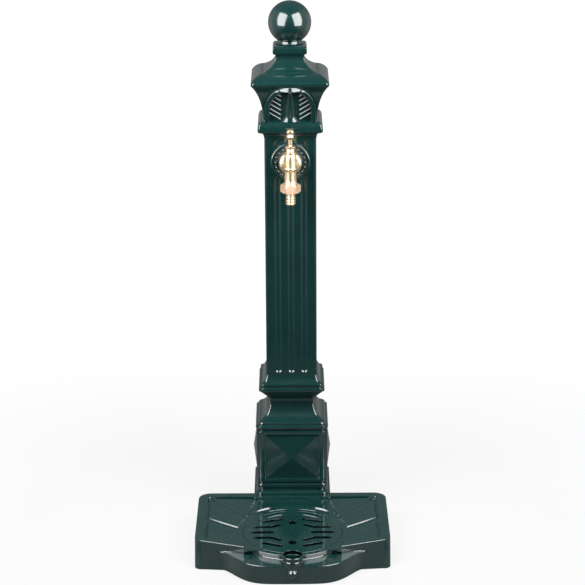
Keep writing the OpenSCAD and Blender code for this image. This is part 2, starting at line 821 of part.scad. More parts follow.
// A low pyramid that faces +X, with its foot sunk below the floor of its frame
module pyramid_panel(rise) {
    half_w = panel_w / 2 - frame_gap;
    half_h = panel_h / 2 - frame_gap;
    polyhedron([[-nip, -half_w, -half_h], [-nip, half_w, -half_h], [-nip, half_w, half_h],
        [-nip, -half_w, half_h], [rise, 0, 0]],
        [[0, 1, 2, 3], [1, 0, 4], [2, 1, 4], [3, 2, 4], [0, 3, 4]]);
}

module pedestal() {
    die_mid = foot_h + quirk_h + bead_h + die_h / 2;
    waist_z = foot_h + 2 * quirk_h + bead_h + die_h;
    cavity = die_w / 2 - quirk_in - pedestal_wall;
    shaft = waist_w / 2 - pedestal_wall;
    head_t = 12;
    spigot_wall = 6;
    color(paint) on_post() translate([0, 0, pedestal_z]) difference() {
        union() {
            difference() {
                moulding(pedestal_half(), die_edge);
                for (a = [0:90:270]) rotate(a)
                    translate([die_w / 2 - frame_cut, -panel_w / 2, die_mid - panel_h / 2])
                        cube([2 * frame_cut, panel_w, panel_h]);
                square_block(cavity, -nip, waist_z);
                square_block(shaft, -nip, pedestal_h - head_t);
            }
            for (a = [0:90:270]) rotate(a) translate([die_w / 2 - frame_cut, 0, die_mid])
                pyramid_panel(pyramid_out + frame_cut);
            bolts_at() cylinder(d = boss_d, h = bolt_in + 6);
            difference() {
                square_block(spigot_half, pedestal_h - head_t, pedestal_h + spigot_h);
                square_block(spigot_half - spigot_wall, pedestal_h, pedestal_h + spigot_h + nip);
            }
        }
        translate([0, 0, -nip]) cylinder(d = rod_d + 2 * pass_gap, h = column_z + spigot_h);
        translate([0, -riser_ahead, -nip]) cylinder(d = riser_d + 2 * pass_gap, h = column_z + spigot_h);
        bolts_at() translate([0, 0, -nip]) cylinder(d = bolt_d + 2 * thread_gap, h = bolt_in + nip + 1);
    }
}

module pedestal_bolts() {
    color(steel) on_post() bolts_at() {
        translate([0, 0, tray_h - deck_t - bolt_head_h]) hexagon(bolt_af, bolt_head_h);
        translate([0, 0, tray_h - deck_t - bolt_head_h])
            cylinder(d = bolt_d, h = bolt_head_h + deck_t + bolt_in);
    }
}

module flute() {
    half = sqrt(flute_depth * (2 * flute_r - flute_depth));
    low = flute_margin + half;
    high = column_h - flute_margin - half;
    translate([column_w / 2 + flute_r - flute_depth, 0, low]) {
        cylinder(r = flute_r, h = high - low);
        sphere(r = flute_r);
        translate([0, 0, high - low]) sphere(r = flute_r);
    }
}

module column() {
    half = column_w / 2;
    color(paint) difference() {
        on_post() translate([0, 0, column_z]) difference() {
            linear_extrude(column_h) polygon([[half, -half + column_edge], [half, half - column_edge],
                [half - column_edge, half], [-half + column_edge, half], [-half, half - column_edge],
                [-half, -half + column_edge], [-half + column_edge, -half], [half - column_edge, -half]]);
            square_block(column_inner, -nip, column_h + nip);
            for (a = [0:90:270], i = [-1:1]) rotate(a) translate([0, i * flute_pitch, 0]) flute();
        }
        on_inlet() translate([0, 0, -column_wall - nip])
            cylinder(d = shank_d + 2 * pass_gap, h = column_wall + 2 * nip);
    }
}

// Half outline of the capital from the column to the top of the cap
function capital_half() = let (
        z1 = neck_h,
        z2 = z1 + collar_h,
        z3 = z2 + collar_round_h,
        z4 = z3 + bell_h,
        z5 = z4 + cornice_h,
        z6 = z5 + cornice_round_h,
        z7 = z6 + fillet_h,
        z8 = z7 + hood_h,
        z9 = z8 + hood_neck_h,
        z10 = z9 + cap_h,
        collar = collar_w / 2,
        cornice = cornice_w / 2,
        fillet = fillet_w / 2,
        cap = cap_w / 2)
    concat([[column_w / 2 + 0.5, 0]],
        arc_up([column_w / 2 + 0.5, 1], [collar - 3, z1]),
        [[collar, z1 + 2], [collar, z2]],
        arc_up([collar, z2], [bell_w / 2 + 2, z3 - 1]),
        [[bell_w / 2, z3]],
        arc_up([bell_w / 2, z3], [cornice - 1, z4], 60),
        [[cornice, z4 + 1.5], [cornice, z5]],
        arc_up([cornice, z5], [fillet + 6, z6], 65, 20),
        [[fillet, z6 + 0.5], [fillet - 0.5, z7]],
        arc_out([fillet - 0.5, z7], [hood_w / 2, z8], 85, 30),
        [[hood_w / 2 + 1, z9]],
        arc_out([hood_w / 2 + 3, z9], [cap, z9 + cap_h * 0.35]),
        [[cap, z9 + cap_h * 0.5]],
        arc_up([cap, z9 + cap_h * 0.5], [cap - 5, z10]));

// The arch: upright legs under a half circle, drawn in by inset
module arch_plan(inset) {
    r = arch_r - inset;
    circle(r);
    translate([-r, -2 * arch_r]) square([2 * r, 2 * arch_r]);
}

// The leaning slab in front of the bell that holds the arch, between two depths behind its face
module arch_slab(near, far) {
    foot_y = bell_w / 2 + arch_ahead;
    head_y = cornice_w / 2 - arch_set;
    foot_z = neck_h + collar_h + collar_round_h - 3;
    head_z = foot_z + 3 + bell_h + 1;
    rotate([90, 0, 90]) linear_extrude(4 * arch_r, center = true)
        polygon([[-foot_y + near, foot_z], [-head_y + near, head_z],
            [-head_y + far, head_z], [-foot_y + far, foot_z]]);
}

module in_arch(inset, near, far) {
    arch_z = neck_h + collar_h + collar_round_h + bell_h - arch_r;
    intersection() {
        translate([0, 0, arch_z]) rotate([90, 0, 0]) linear_extrude(cornice_w) arch_plan(inset);
        arch_slab(near, far);
    }
}

// A palmette: a tapering stem with leaves that rise outwards on both sides
module palmette() {
    low = neck_h + collar_h + collar_round_h;
    lean = atan2((cornice_w - bell_w) / 2 - arch_ahead - arch_set, bell_h);
    rise = (bell_h - leaf_room) / leaf_count;
    translate([0, -bell_w / 2 - arch_ahead + niche_depth, low]) rotate([lean, 0, 0]) {
        translate([0, 0, -3]) cylinder(r1 = stem_r, r2 = stem_r * 0.4, h = bell_h);
        for (s = [-1, 1], i = [0:leaf_count - 1]) translate([0, 0, rise * i - leaf_drop])
            rotate([0, s * (90 - leaf_slope), 0]) cylinder(d = leaf_d, h = 2 * arch_r, $fn = 24);
    }
}

module capital() {
    hollow = bell_w / 2 - capital_wall;
    color(paint) on_post() translate([0, 0, capital_z]) difference() {
        union() {
            difference() {
                union() {
                    moulding(capital_half(), cornice_edge);
                    in_arch(0, 0, arch_block);
                    square_block(spigot_half, -spigot_h, nip);
                }
                in_arch(arch_band, -nip, niche_depth);
            }
            intersection() {
                palmette();
                in_arch(arch_band, 1, niche_depth + 4);
            }
        }
        square_block(hollow, -spigot_h - nip, neck_h + collar_h + collar_round_h + bell_h);
        translate([0, 0, -spigot_h]) cylinder(d = rod_d + 2 * pass_gap, h = capital_h + spigot_h + nip);
    }
}

module finial() {
    ball_r = ball_d / 2;
    neck_r = ball_neck_d / 2;
    ball_z = ball_neck_h + sqrt(ball_r * ball_r - neck_r * neck_r);
    color(paint) on_post() translate([0, 0, finial_z]) difference() {
        union() {
            translate([0, 0, ball_z]) sphere(d = ball_d, $fn = 96);
            rotate_extrude() polygon(concat([[0, 0], [ball_foot_d / 2, 0]],
                arc_out([ball_foot_d / 2, 0.5], [neck_r, ball_neck_h], 80), [[0, ball_neck_h + 2]]));
        }
        translate([0, 0, -nip]) cylinder(d = rod_d + 2 * thread_gap, h = rod_in_ball + nip + 1);
    }
}

module tie_rod() {
    low = tray_h - deck_t - plate_t - nut_h - 3;
    color(steel) on_post() translate([0, 0, low]) cylinder(d = rod_d, h = finial_z + rod_in_ball - low);
}

module tie_rod_washer() {
    color(steel) on_post() translate([0, 0, tray_h - deck_t - plate_t]) difference() {
        cylinder(d = plate_d, h = plate_t);
        translate([0, 0, -nip]) cylinder(d = rod_d + 2 * pass_gap, h = plate_t + 2 * nip);
    }
}

module tie_rod_nut() {
    color(steel) on_post() translate([0, 0, tray_h - deck_t - plate_t - nut_h]) difference() {
        hexagon(nut_af, nut_h);
        translate([0, 0, -nip]) cylinder(d = rod_d + 2 * thread_gap, h = nut_h + 2 * nip);
    }
}

module rosette() {
    r = rosette_d / 2;
    boss_r = rosette_boss_d / 2;
    field_t = rosette_t - 4;
    bead_at = (boss_r + r - rosette_rim) / 2;
    color(paint) on_inlet() difference() {
        union() {
            rotate_extrude($fn = 96) polygon(concat([[0, 0], [r, 0], [r, 3]],
                arc_up([r, 3], [r - rosette_rim / 2, rosette_t - 1]),
                arc_out([r - rosette_rim / 2, rosette_t - 1], [r - rosette_rim, field_t]),
                [[boss_r + 1, field_t], [boss_r, rosette_t], [0, rosette_t]]));
            for (i = [0:bead_count - 1]) rotate(360 * i / bead_count) translate([bead_at, 0, field_t])
                sphere(d = bead_d, $fn = 24);
        }
        translate([0, 0, -nip]) cylinder(d = shank_d + 2 * pass_gap, h = rosette_t + 2 * nip);
    }
}

module riser_pipe() {
    low = inlet_z + inlet_depth + 2;
    high = tap_z - fitting_d / 2;
    color(steel) on_post() translate([0, -riser_ahead, low]) difference() {
        cylinder(d = riser_d, h = high - low);
        translate([0, 0, -nip]) cylinder(d = riser_d - 2 * riser_wall, h = high - low + 2 * nip);
    }
}

module elbow() {
    bore = riser_d - 2 * riser_wall;
    drop = fitting_d / 2 + pipe_in;
    reach = column_inner - riser_ahead;
    color(brass) on_post() translate([0, -riser_ahead, tap_z]) difference() {
        union() {
            sphere(d = fitting_d);
            translate([0, 0, -drop]) cylinder(d = fitting_d, h = drop);
            rotate([90, 0, 0]) cylinder(d = fitting_d, h = reach);
        }
        translate([0, 0, -drop - nip]) cylinder(d = riser_d + 2 * thread_gap, h = pipe_in + nip);
        translate([0, 0, -drop]) cylinder(d = bore, h = drop);
        rotate([90, 0, 0]) cylinder(d = bore, h = reach);
        translate([0, -reach + shank_grip + 0.5, 0]) rotate([90, 0, 0])
            cylinder(d = shank_d + 2 * thread_gap, h = shank_grip + nip);
    }
}

module inlet_socket() {
    ledge = 2;
    h = inlet_depth + ledge + pipe_in;
    color(brass) on_post() translate([0, -riser_ahead, inlet_z]) difference() {
        cylinder(d = fitting_d, h = h);
        translate([0, 0, -nip]) cylinder(d = inlet_d, h = inlet_depth + nip);
        cylinder(d = riser_d - 2 * riser_wall, h = h);
        translate([0, 0, inlet_depth + ledge]) cylinder(d = riser_d + 2 * thread_gap, h = h);
    }
}

module tap_body() {
    nose_top = -nose_down + nose_h;
    color(brass) difference() {
        union() {
            on_tap() rotate_extrude() polygon(concat(
                [[0, -nose_down], [nose_d / 2, -nose_down], [nose_d / 2, nose_top]],
                arc_out([nose_d / 2 - 0.5, nose_top + 0.5], [spout_d / 2, nose_top + 7]),
                [[spout_d / 2 - 0.3, -4], [ledge_d / 2, -1.5], [ledge_d / 2, 0.8], [chamber_d / 2, 2],
                    [chamber_d / 2, chamber_up - 8]],
                arc_up([chamber_d / 2, chamber_up - 8], [bonnet_flange_d / 2 - 0.6, chamber_up], 70),
                [[0, chamber_up]]));
            on_inlet() {
                translate([0, 0, neck_out - nip]) cylinder(d = inlet_neck_d, h = tap_reach - neck_out + nip);
                translate([0, 0, shoulder_out]) cylinder(d = shoulder_d, h = shoulder_t);
                translate([0, 0, -shank_in]) cylinder(d = shank_d, h = shank_in + neck_out);
            }
        }
        on_inlet() translate([0, 0, -shank_in - nip])
            cylinder(d = inlet_bore, h = shank_in + tap_reach + nip);
        on_tap() {
            translate([0, 0, -seat_down]) cylinder(d = chamber_bore, h = chamber_up + seat_down + nip);
            translate([0, 0, -nose_down - nip]) cylinder(d = seat_bore, h = nose_down);
            translate([0, 0, -nose_down - nip]) cylinder(d = spout_bore, h = nose_down - seat_down - 2 + nip);
        }
    }
}

module ring(outer, inner, t) {
    difference() {
        cylinder(d = outer, h = t);
        translate([0, 0, -nip]) cylinder(d = inner, h = t + 2 * nip);
    }
}

module inlet_flange() {
    r = flange_d / 2;
    color(brass) on_inlet() translate([0, 0, flange_out]) difference() {
        rotate_extrude() polygon(concat([[0, 0], [r, 0], [r, 1.5]],
            arc_up([r, 1.5], [shoulder_d / 2 + 0.5, flange_t], 80), [[0, flange_t]]));
        translate([0, 0, -nip]) cylinder(d = shank_d + 2 * thread_gap, h = flange_t + 2 * nip);
    }
}

module inlet_washer() {
    color(fibre) on_inlet() translate([0, 0, washer_out])
        ring(shoulder_d + 6, shank_d + 2 * pass_gap, seal_t);
}

module bonnet() {
    skirt = 8;
    top = bonnet_flange_t + bonnet_h + bonnet_top_h;
    color(brass) on_tap() translate([0, 0, bonnet_z]) difference() {
        union() {
            translate([0, 0, -bonnet_z + skirt])
                cylinder(d = chamber_bore - 2 * thread_gap, h = bonnet_z - skirt + nip);
            cylinder(d = bonnet_flange_d, h = bonnet_flange_t);
            cylinder(d = bonnet_d, h = bonnet_flange_t + bonnet_h);
            cylinder(d = bonnet_top_d, h = top);
        }
        translate([0, 0, -bonnet_z]) hexagon(plunger_af + 2 * plunger_gap, guide_top);
        translate([0, 0, -bonnet_z]) cylinder(d = spindle_d + 2 * spindle_gap, h = bonnet_z + top + nip);
        translate([0, 0, packing_z - bonnet_z]) cylinder(d = packing_d + 2 * thread_gap, h = packing_h + nip);
    }
}

module bonnet_washer() {
    color(fibre) on_tap() translate([0, 0, chamber_up])
        ring(bonnet_flange_d - 0.6, chamber_bore + 2 * thread_gap, seal_t);
}

module gland_nut() {
    color(brass) on_tap() translate([0, 0, gland_z]) difference() {
        turned_hexagon(gland_af, gland_h, 0.8);
        translate([0, 0, -nip]) cylinder(d = spindle_d + 2 * spindle_gap, h = gland_h + 2 * nip);
        translate([0, 0, -nip]) cylinder(d = bonnet_top_d + 2 * thread_gap, h = bonnet_top_h + nip);
    }
}

module gland_packing() {
    color(black) on_tap() translate([0, 0, packing_z])
        ring(packing_d, spindle_d + 2 * spindle_gap, packing_h);
}

module spindle() {
    collar_z = guide_top - collar_t - 0.1;
    color(brass) on_tap() difference() {
        union() {
            cylinder(d = screw_d, h = collar_z + nip);
            translate([0, 0, collar_z]) cylinder(d = collar_d, h = collar_t);
            translate([0, 0, collar_z]) cylinder(d = spindle_d, h = spindle_top - collar_z);
        }
        translate([0, 0, spindle_top - handle_screw_in - 1])
            cylinder(d = handle_screw_d + 2 * thread_gap, h = handle_screw_in + 2);
    }
}

module plunger() {
    foot = 2.5;
    color(brass) on_tap() translate([0, 0, plunger_z]) difference() {
        hexagon(plunger_af, plunger_h);
        translate([0, 0, foot]) cylinder(d = screw_d + 2 * spindle_gap, h = plunger_h);
    }
}

module valve_washer() {
    color(black) on_tap() translate([0, 0, -seat_down]) cylinder(d = valve_washer_d, h = valve_washer_t);
}

// Half of the crutch bar from its middle to its round end, as a turned shape
module bar_half() {
    end_r = bar_end_d / 2;
    end_at = bar_l / 2 - end_r;
    rotate_extrude() polygon(concat([[0, 0], [bar_d / 2, 0]],
        arc_up([bar_d / 2, 1], [bar_d / 2 - 0.6, end_at - end_r * 0.9]), [[0, end_at - end_r * 0.9]]));
    translate([0, 0, end_at]) sphere(r = end_r);
}

module handle() {
    boss_r = handle_boss_d / 2;
    low = bar_up - handle_boss_h;
    color(brass) on_tap() difference() {
        union() {
            translate([0, 0, low]) rotate_extrude() polygon(concat([[0, 0], [boss_r - 1, 0]],
                arc_up([boss_r - 1, 0], [boss_r, handle_boss_h * 0.6], 60),
                [[boss_r - 1, handle_boss_h], [0, handle_boss_h]]));
            for (a = [-90, 90]) translate([0, 0, bar_up]) rotate([a, 0, 0]) bar_half();
        }
        translate([0, 0, low - nip]) cylinder(d = spindle_d + 2 * thread_gap, h = spindle_top - low + nip);
        cylinder(d = handle_screw_d + 2 * pass_gap, h = screw_seat + nip);
        translate([0, 0, screw_seat]) cylinder(d = handle_screw_head_d + 2 * thread_gap, h = bar_d);
    }
}

module handle_screw() {
    color(brass) on_tap() {
        translate([0, 0, screw_seat]) cylinder(d = handle_screw_head_d, h = handle_screw_head_h);
        translate([0, 0, spindle_top - handle_screw_in])
            cylinder(d = handle_screw_d,
                h = screw_seat - spindle_top + handle_screw_in + handle_screw_head_h / 2);
    }
}

module union_nut() {
    color(brass) on_tap() translate([0, 0, union_z]) difference() {
        turned_hexagon(union_af, union_h, 1);
        translate([0, 0, -nip]) cylinder(d = tail_d + 4 * union_gap, h = union_h + 2 * nip);
        translate([0, 0, union_lip]) cylinder(d = nose_d + 2 * thread_gap, h = union_h);
    }
}

module hose_tail() {
    crest = tail_d / 2;
    root = crest - barb_depth;
    land = 1.2;
    low = tail_top - tail_flange_t - tail_l;
    color(brass) on_tap() difference() {
        union() {
            translate([0, 0, tail_top - tail_flange_t]) cylinder(d = tail_flange_d, h = tail_flange_t);
            translate([0, 0, low]) cylinder(r = root, h = tail_l + nip);
            for (i = [0:barb_count - 1]) translate([0, 0, low + barb_pitch * i]) {
                cylinder(r1 = root - 0.6, r2 = crest, h = barb_pitch - land - 0.6);
                translate([0, 0, barb_pitch - land - 0.6]) cylinder(r = crest, h = land);
            }
        }
        translate([0, 0, low - nip]) cylinder(d = tail_bore, h = tail_l + tail_flange_t + 2 * nip);
    }
}

module hose_washer() {
    color(black) on_tap() translate([0, 0, tail_top]) ring(tail_flange_d, spout_bore, hose_washer_t);
}

basin();
grate();
pedestal();
pedestal_bolts();
column();
capital();
finial();
tie_rod();
tie_rod_washer();
tie_rod_nut();
rosette();
riser_pipe();
elbow();
inlet_socket();
tap_body();
inlet_flange();
inlet_washer();
bonnet();
bonnet_washer();
gland_nut();
gland_packing();
spindle();
plunger();
valve_washer();
handle();
handle_screw();
union_nut();
hose_tail();
hose_washer();
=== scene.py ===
import json
import math
from types import SimpleNamespace as Values

import bmesh
import bpy
import numpy as np
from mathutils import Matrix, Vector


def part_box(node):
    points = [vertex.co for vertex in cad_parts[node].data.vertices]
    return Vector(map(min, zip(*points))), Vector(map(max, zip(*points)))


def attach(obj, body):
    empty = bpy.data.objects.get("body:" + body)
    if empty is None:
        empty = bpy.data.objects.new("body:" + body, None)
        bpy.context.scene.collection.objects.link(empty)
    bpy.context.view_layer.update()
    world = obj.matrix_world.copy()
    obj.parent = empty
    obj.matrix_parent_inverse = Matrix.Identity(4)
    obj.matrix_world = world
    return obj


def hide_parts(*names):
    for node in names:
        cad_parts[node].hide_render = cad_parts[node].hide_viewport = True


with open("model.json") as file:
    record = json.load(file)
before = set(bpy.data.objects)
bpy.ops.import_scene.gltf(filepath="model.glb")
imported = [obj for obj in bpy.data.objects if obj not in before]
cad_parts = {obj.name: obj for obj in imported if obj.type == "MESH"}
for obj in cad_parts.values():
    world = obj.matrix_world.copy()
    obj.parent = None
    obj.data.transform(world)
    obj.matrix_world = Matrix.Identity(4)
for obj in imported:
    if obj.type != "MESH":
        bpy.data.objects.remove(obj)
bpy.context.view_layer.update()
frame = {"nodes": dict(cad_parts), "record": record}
nodes = frame["nodes"]
print("frame loaded,", len(nodes), "nodes")


def boxMm(node):
    low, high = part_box(node)
    return np.array(low) * 1000, np.array(high) * 1000


# Everything below is worked out in millimetres from the post axis, with -Y to the front.
columnLow, columnHigh = boxMm("column")
postY = (columnLow[1] + columnHigh[1]) / 2
columnHalf = (columnHigh[0] - columnLow[0]) / 2
pedestalZ = boxMm("pedestal")[0][2]
capitalZ = columnHigh[2]
finialZ = boxMm("finial")[0][2]
rosetteLow, rosetteHigh = boxMm("rosette")
tapZ = (rosetteLow[2] + rosetteHigh[2]) / 2
nutLow, nutHigh = boxMm("union_nut")
tapY = (nutLow[1] + nutHigh[1]) / 2 - postY
grateLow, grateHigh = boxMm("grate")
grateY = (grateLow[1] + grateHigh[1]) / 2 - postY


# Shader wiring

class Wire:
    # One output of a node, which sums can be written with.
    def __init__(self, tree, socket):
        self.tree = tree
        self.socket = socket

    def sum(self, operation, a, b):
        made = self.tree.nodes.new("ShaderNodeMath")
        made.operation = operation
        for place, value in enumerate((a, b)):
            if isinstance(value, Wire):
                self.tree.links.new(value.socket, made.inputs[place])
            else:
                made.inputs[place].default_value = value
        return Wire(self.tree, made.outputs[0])

    def __add__(self, other):
        return self.sum("ADD", self, other)

    def __sub__(self, other):
        return self.sum("SUBTRACT", self, other)

    def __rsub__(self, other):
        return self.sum("SUBTRACT", other, self)

    def __mul__(self, other):
        return self.sum("MULTIPLY", self, other)

    __radd__, __rmul__ = __add__, __mul__


class Finish:
    # A material, its tree and the one way to add nodes to it.
    def __init__(self, name, holder=None):
        self.holder = holder or bpy.data.materials.new(name)
        self.holder.use_nodes = True
        self.tree = self.holder.node_tree
        self.tree.nodes.clear()

    def node(self, kind, settings=None, sockets=None, output=0):
        made = self.tree.nodes.new(kind)
        for key, value in (settings or {}).items():
            setattr(made, key, value)
        for key, value in (sockets or {}).items():
            if isinstance(value, Wire):
                self.tree.links.new(value.socket, made.inputs[key])
            else:
                made.inputs[key].default_value = value
        return Wire(self.tree, made.outputs[output]) if len(made.outputs) else None

    def surface(self, shader):
        self.node("ShaderNodeOutputMaterial", sockets={"Surface": shader})
        return self.holder

    def mixed(self, factor, low, high):
        return self.node("ShaderNodeMix", {"data_type": "RGBA"}, {0: factor, 6: low, 7: high}, 2)

    def ramp(self, value, low, high, start=0.0, end=1.0):
        # From start at low to end at high, level beyond both.
        return self.node("ShaderNodeMapRange", {"clamp": True}, {
            "Value": value, "From Min": low, "From Max": high, "To Min": start, "To Max": end})

    def noise(self, place, scale, detail):
        return self.node("ShaderNodeTexNoise", None, {"Vector": place, "Scale": scale, "Detail": detail})

    def axis(self, vector, index):
        return self.node("ShaderNodeSeparateXYZ", None, {"Vector": vector}, index)

    def bump(self, strength, distance, height):
        return self.node("ShaderNodeBump", None, {
            "Strength": strength, "Distance": distance, "Height": height})

    def principled(self, sockets):
        return self.surface(self.node("ShaderNodeBsdfPrincipled", None, sockets))


paintLook = {
    "color": (0.0058, 0.0400, 0.0370, 1), "deepColor": (0.0050, 0.0350, 0.0322, 1),
    "dustColor": (0.024, 0.054, 0.050, 1), "roughness": 0.18, "coatRoughness": 0.08, "index": 1.5,
    "driftSize": 22.0, "driftRough": 0.08, "peelSize": 420.0, "peelBump": 0.02, "castSize": 60.0,
    "castBump": 0.03, "dustSize": 900.0, "dustTone": 0.10, "dustRough": 0.12, "bump": 0.35,
    "bumpDepth": 0.0002,
}


def glossPaint():
    # Gloss enamel on a casting: slow drifts of colour and gloss, fine orange peel, a faint cast
    # unevenness, and a little dust on faces that look up.
    look = Values(**paintLook)
    make = Finish("glossPaint")
    place = make.node("ShaderNodeTexCoord", output=3)
    drift = make.noise(place, look.driftSize, 3.0)
    cast = make.noise(place, look.castSize, 2.0)
    peel = make.noise(place, look.peelSize, 1.0)
    specks = make.noise(place, look.dustSize, 0.0)
    facing = make.axis(make.node("ShaderNodeNewGeometry", output=1), 2)
    dust = make.ramp(facing, 0.6, 1.0) * make.ramp(specks, 0.58, 0.75)
    tone = make.mixed(make.ramp(drift, 0.35, 0.65), look.deepColor, look.color)
    color = make.mixed(dust * look.dustTone, tone, look.dustColor)
    rough = drift * look.driftRough + dust * look.dustRough \
        + (look.roughness - look.driftRough / 2)
    relief = cast * look.castBump + peel * look.peelBump
    return make.principled({
        "Base Color": color, "Roughness": rough, "IOR": look.index, "Coat Weight": 1.0,
        "Coat IOR": look.index, "Coat Roughness": look.coatRoughness,
        "Normal": make.bump(look.bump, look.bumpDepth, relief)})


brassLook = {
    "color": (0.88, 0.63, 0.37, 1), "paleColor": (0.95, 0.77, 0.52, 1), "roughness": 0.32,
    "turnedLines": 2600.0,
}
mattLook = {
    "color": (0.80, 0.52, 0.36, 1), "paleColor": (0.90, 0.66, 0.48, 1), "roughness": 0.52,
    "turnedLines": 1700.0,
}


def turnedBrass(name, look):
    # Turned brass: paler where it has been buffed, with fine rings from turning.
    make = Finish(name)
    place = make.node("ShaderNodeTexCoord", output=3)
    drift = make.noise(place, 90.0, 4.0)
    lines = make.node("ShaderNodeTexNoise", {"noise_dimensions": "1D"},
                      {"W": make.axis(place, 2) * look.turnedLines, "Scale": 1.0, "Detail": 2.0})
    return make.principled({
        "Base Color": make.mixed(make.ramp(drift, 0.3, 0.7), look.color, look.paleColor),
        "Metallic": 1.0, "Roughness": drift * 0.10 + lines * 0.05 + (look.roughness - 0.06),
        "Normal": make.bump(0.12, 0.0001, lines * 0.6 + drift * 0.4)})


def plainFinish(name, low, high, metallic, roughness, size, bumpHeight, gloss=0.5):
    # A plain grained finish between two tones.
    make = Finish(name)
    grain = make.noise(make.node("ShaderNodeTexCoord", output=3), size, 4.0)
    return make.principled({
        "Base Color": make.mixed(grain, low, high), "Metallic": metallic,
        "Roughness": grain * 0.2 + roughness, "Specular IOR Level": gloss,
        "Normal": make.bump(0.3, bumpHeight, grain)})


paint = glossPaint()
brass = turnedBrass("polishedBrass", Values(**brassLook))
mattBrass = turnedBrass("mattBrass", Values(**mattLook))
steel = plainFinish("zincSteel", (0.40, 0.41, 0.42, 1), (0.58, 0.59, 0.60, 1), 1.0, 0.28, 160.0, 0.0001)
rubber = plainFinish("sealRubber", (0.012, 0.012, 0.013, 1), (0.03, 0.03, 0.032, 1), 0.0, 0.6, 500.0, 0.0002)
fibre = plainFinish("sealFibre", (0.28, 0.10, 0.035, 1), (0.45, 0.19, 0.08, 1), 0.0, 0.6, 400.0, 0.0002)
# Near black and without shine: painted shade for the inside of the socket's hole, not a real material.
paintedShadeBlack = plainFinish("paintedShadeBlack", (0.002, 0.002, 0.002, 1), (0.005, 0.005, 0.005, 1), 0.0, 0.8, 300.0, 0.0002,
                      gloss=0.0)
finishes = {"paint": paint, "brass": brass, "steel": steel, "rubber": rubber, "fibre": fibre}
print("finishes made")

for part in frame["record"]["subparts"]:
    cadMesh = nodes[part["node"]].data
    cadMesh.materials.clear()
    cadMesh.materials.append(finishes[part["material_slot"]])


# Surfaces

def softened(points, radius, steps=4, straight=-0.95):
    # Every sharp corner becomes a parabola that starts and ends radius away, or nearer on short sides.
    p = np.asarray(points, float)
    p = p[np.concatenate([[True], np.linalg.norm(np.diff(p, axis=0), axis=1) > 1e-6])]
    back, ahead = p[:-2] - p[1:-1], p[2:] - p[1:-1]
    backLength, aheadLength = np.linalg.norm(back, axis=1), np.linalg.norm(ahead, axis=1)
    cut = np.minimum(radius, 0.45 * np.minimum(backLength, aheadLength))
    a = p[1:-1] + back * (cut / backLength)[:, None]
    b = p[1:-1] + ahead * (cut / aheadLength)[:, None]
    t = np.linspace(0, 1, steps + 1)[None, :, None]
    curve = (1 - t) ** 2 * a[:, None] + 2 * t * (1 - t) * p[1:-1][:, None] + t * t * b[:, None]
    sharp = (back * ahead).sum(1) > straight * backLength * aheadLength
    curve[~sharp] = p[1:-1][~sharp][:, None]
    kept = sharp[:, None] | (np.arange(steps + 1) == 0)
    return np.vstack([p[:1], curve[kept], p[-1:]])


def filled(points, step):
    # Adds points along the straight runs so that none is longer than step.
    p = np.asarray(points, float)
    runs = np.linalg.norm(np.diff(p, axis=0), axis=1)
    along = np.concatenate([[0], np.cumsum(runs)])
    counts = np.maximum(1, np.ceil(runs / step).astype(int))
    places = [a + r * np.arange(n) / n for a, r, n in zip(along[:-1], runs, counts)]
    places = np.concatenate(places + [along[-1:]])
    return np.stack([np.interp(places, along, p[:, i]) for i in range(p.shape[1])], 1)


def arcUp(a, b, sweep=90, steps=10, start=0):
    # A curve that leaves a upright and arrives at b level, or the part of it between two angles.
    t = np.radians(np.linspace(start, sweep, steps + 1))
    x = (np.cos(t[0]) - np.cos(t)) / (np.cos(t[0]) - np.cos(t[-1]))
    z = (np.sin(t) - np.sin(t[0])) / (np.sin(t[-1]) - np.sin(t[0]))
    return np.stack([a[0] + (b[0] - a[0]) * x, a[1] + (b[1] - a[1]) * z], 1).tolist()


def arcOut(a, b, sweep=90, steps=10, start=0):
    # A curve that leaves a level and arrives at b upright, or the part of it between two angles.
    return [[x, z] for z, x in arcUp(a[::-1], b[::-1], sweep, steps, start)]


def smoothStep(low, high, value):
    t = np.clip((value - low) / (high - low), 0, 1)
    return t * t * (3 - 2 * t)


def quadsOf(rows, cols, start, wrapRows, wrapCols):
    index = start + np.arange(rows * cols).reshape(rows, cols)
    if wrapCols:
        index = np.hstack([index, index[:, :1]])
    if wrapRows:
        index = np.vstack([index, index[:1]])
    return np.stack([index[:-1, :-1], index[:-1, 1:], index[1:, 1:], index[1:, :-1]], -1).reshape(-1, 4)


def placed(name, data):
    made = bpy.data.objects.new(name, data)
    bpy.context.scene.collection.objects.link(made)
    return made


def makePiece(name, grids, replaced=(), slotName="paint", body="post", finish=None, crease=42):
    # grids holds (points[rows, cols, 3], wrapRows, wrapCols) in millimetres from the post axis.
    points, faces, count = [], [], 0
    for grid, wrapRows, wrapCols in grids:
        rows, cols = grid.shape[:2]
        points.append(grid.reshape(-1, 3))
        faces.append(quadsOf(rows, cols, count, wrapRows, wrapCols))
        count += rows * cols
    places = (np.vstack(points) + np.array([0, postY, 0])) * 0.001
    mesh = bpy.data.meshes.new(name)
    mesh.from_pydata(places.tolist(), [], np.vstack(faces).tolist())
    shape = bmesh.new()
    shape.from_mesh(mesh)
    bmesh.ops.remove_doubles(shape, verts=shape.verts, dist=2e-6)
    bmesh.ops.recalc_face_normals(shape, faces=shape.faces)
    shape.to_mesh(mesh)
    shape.free()
    mesh.polygons.foreach_set("use_smooth", np.ones(len(mesh.polygons), bool))
    mesh.set_sharp_from_angle(angle=math.radians(crease))
    mesh.materials.append(finish or finishes[slotName])
    made = placed(name, mesh)
    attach(made, body)
    if replaced:
        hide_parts(*replaced)
    return made


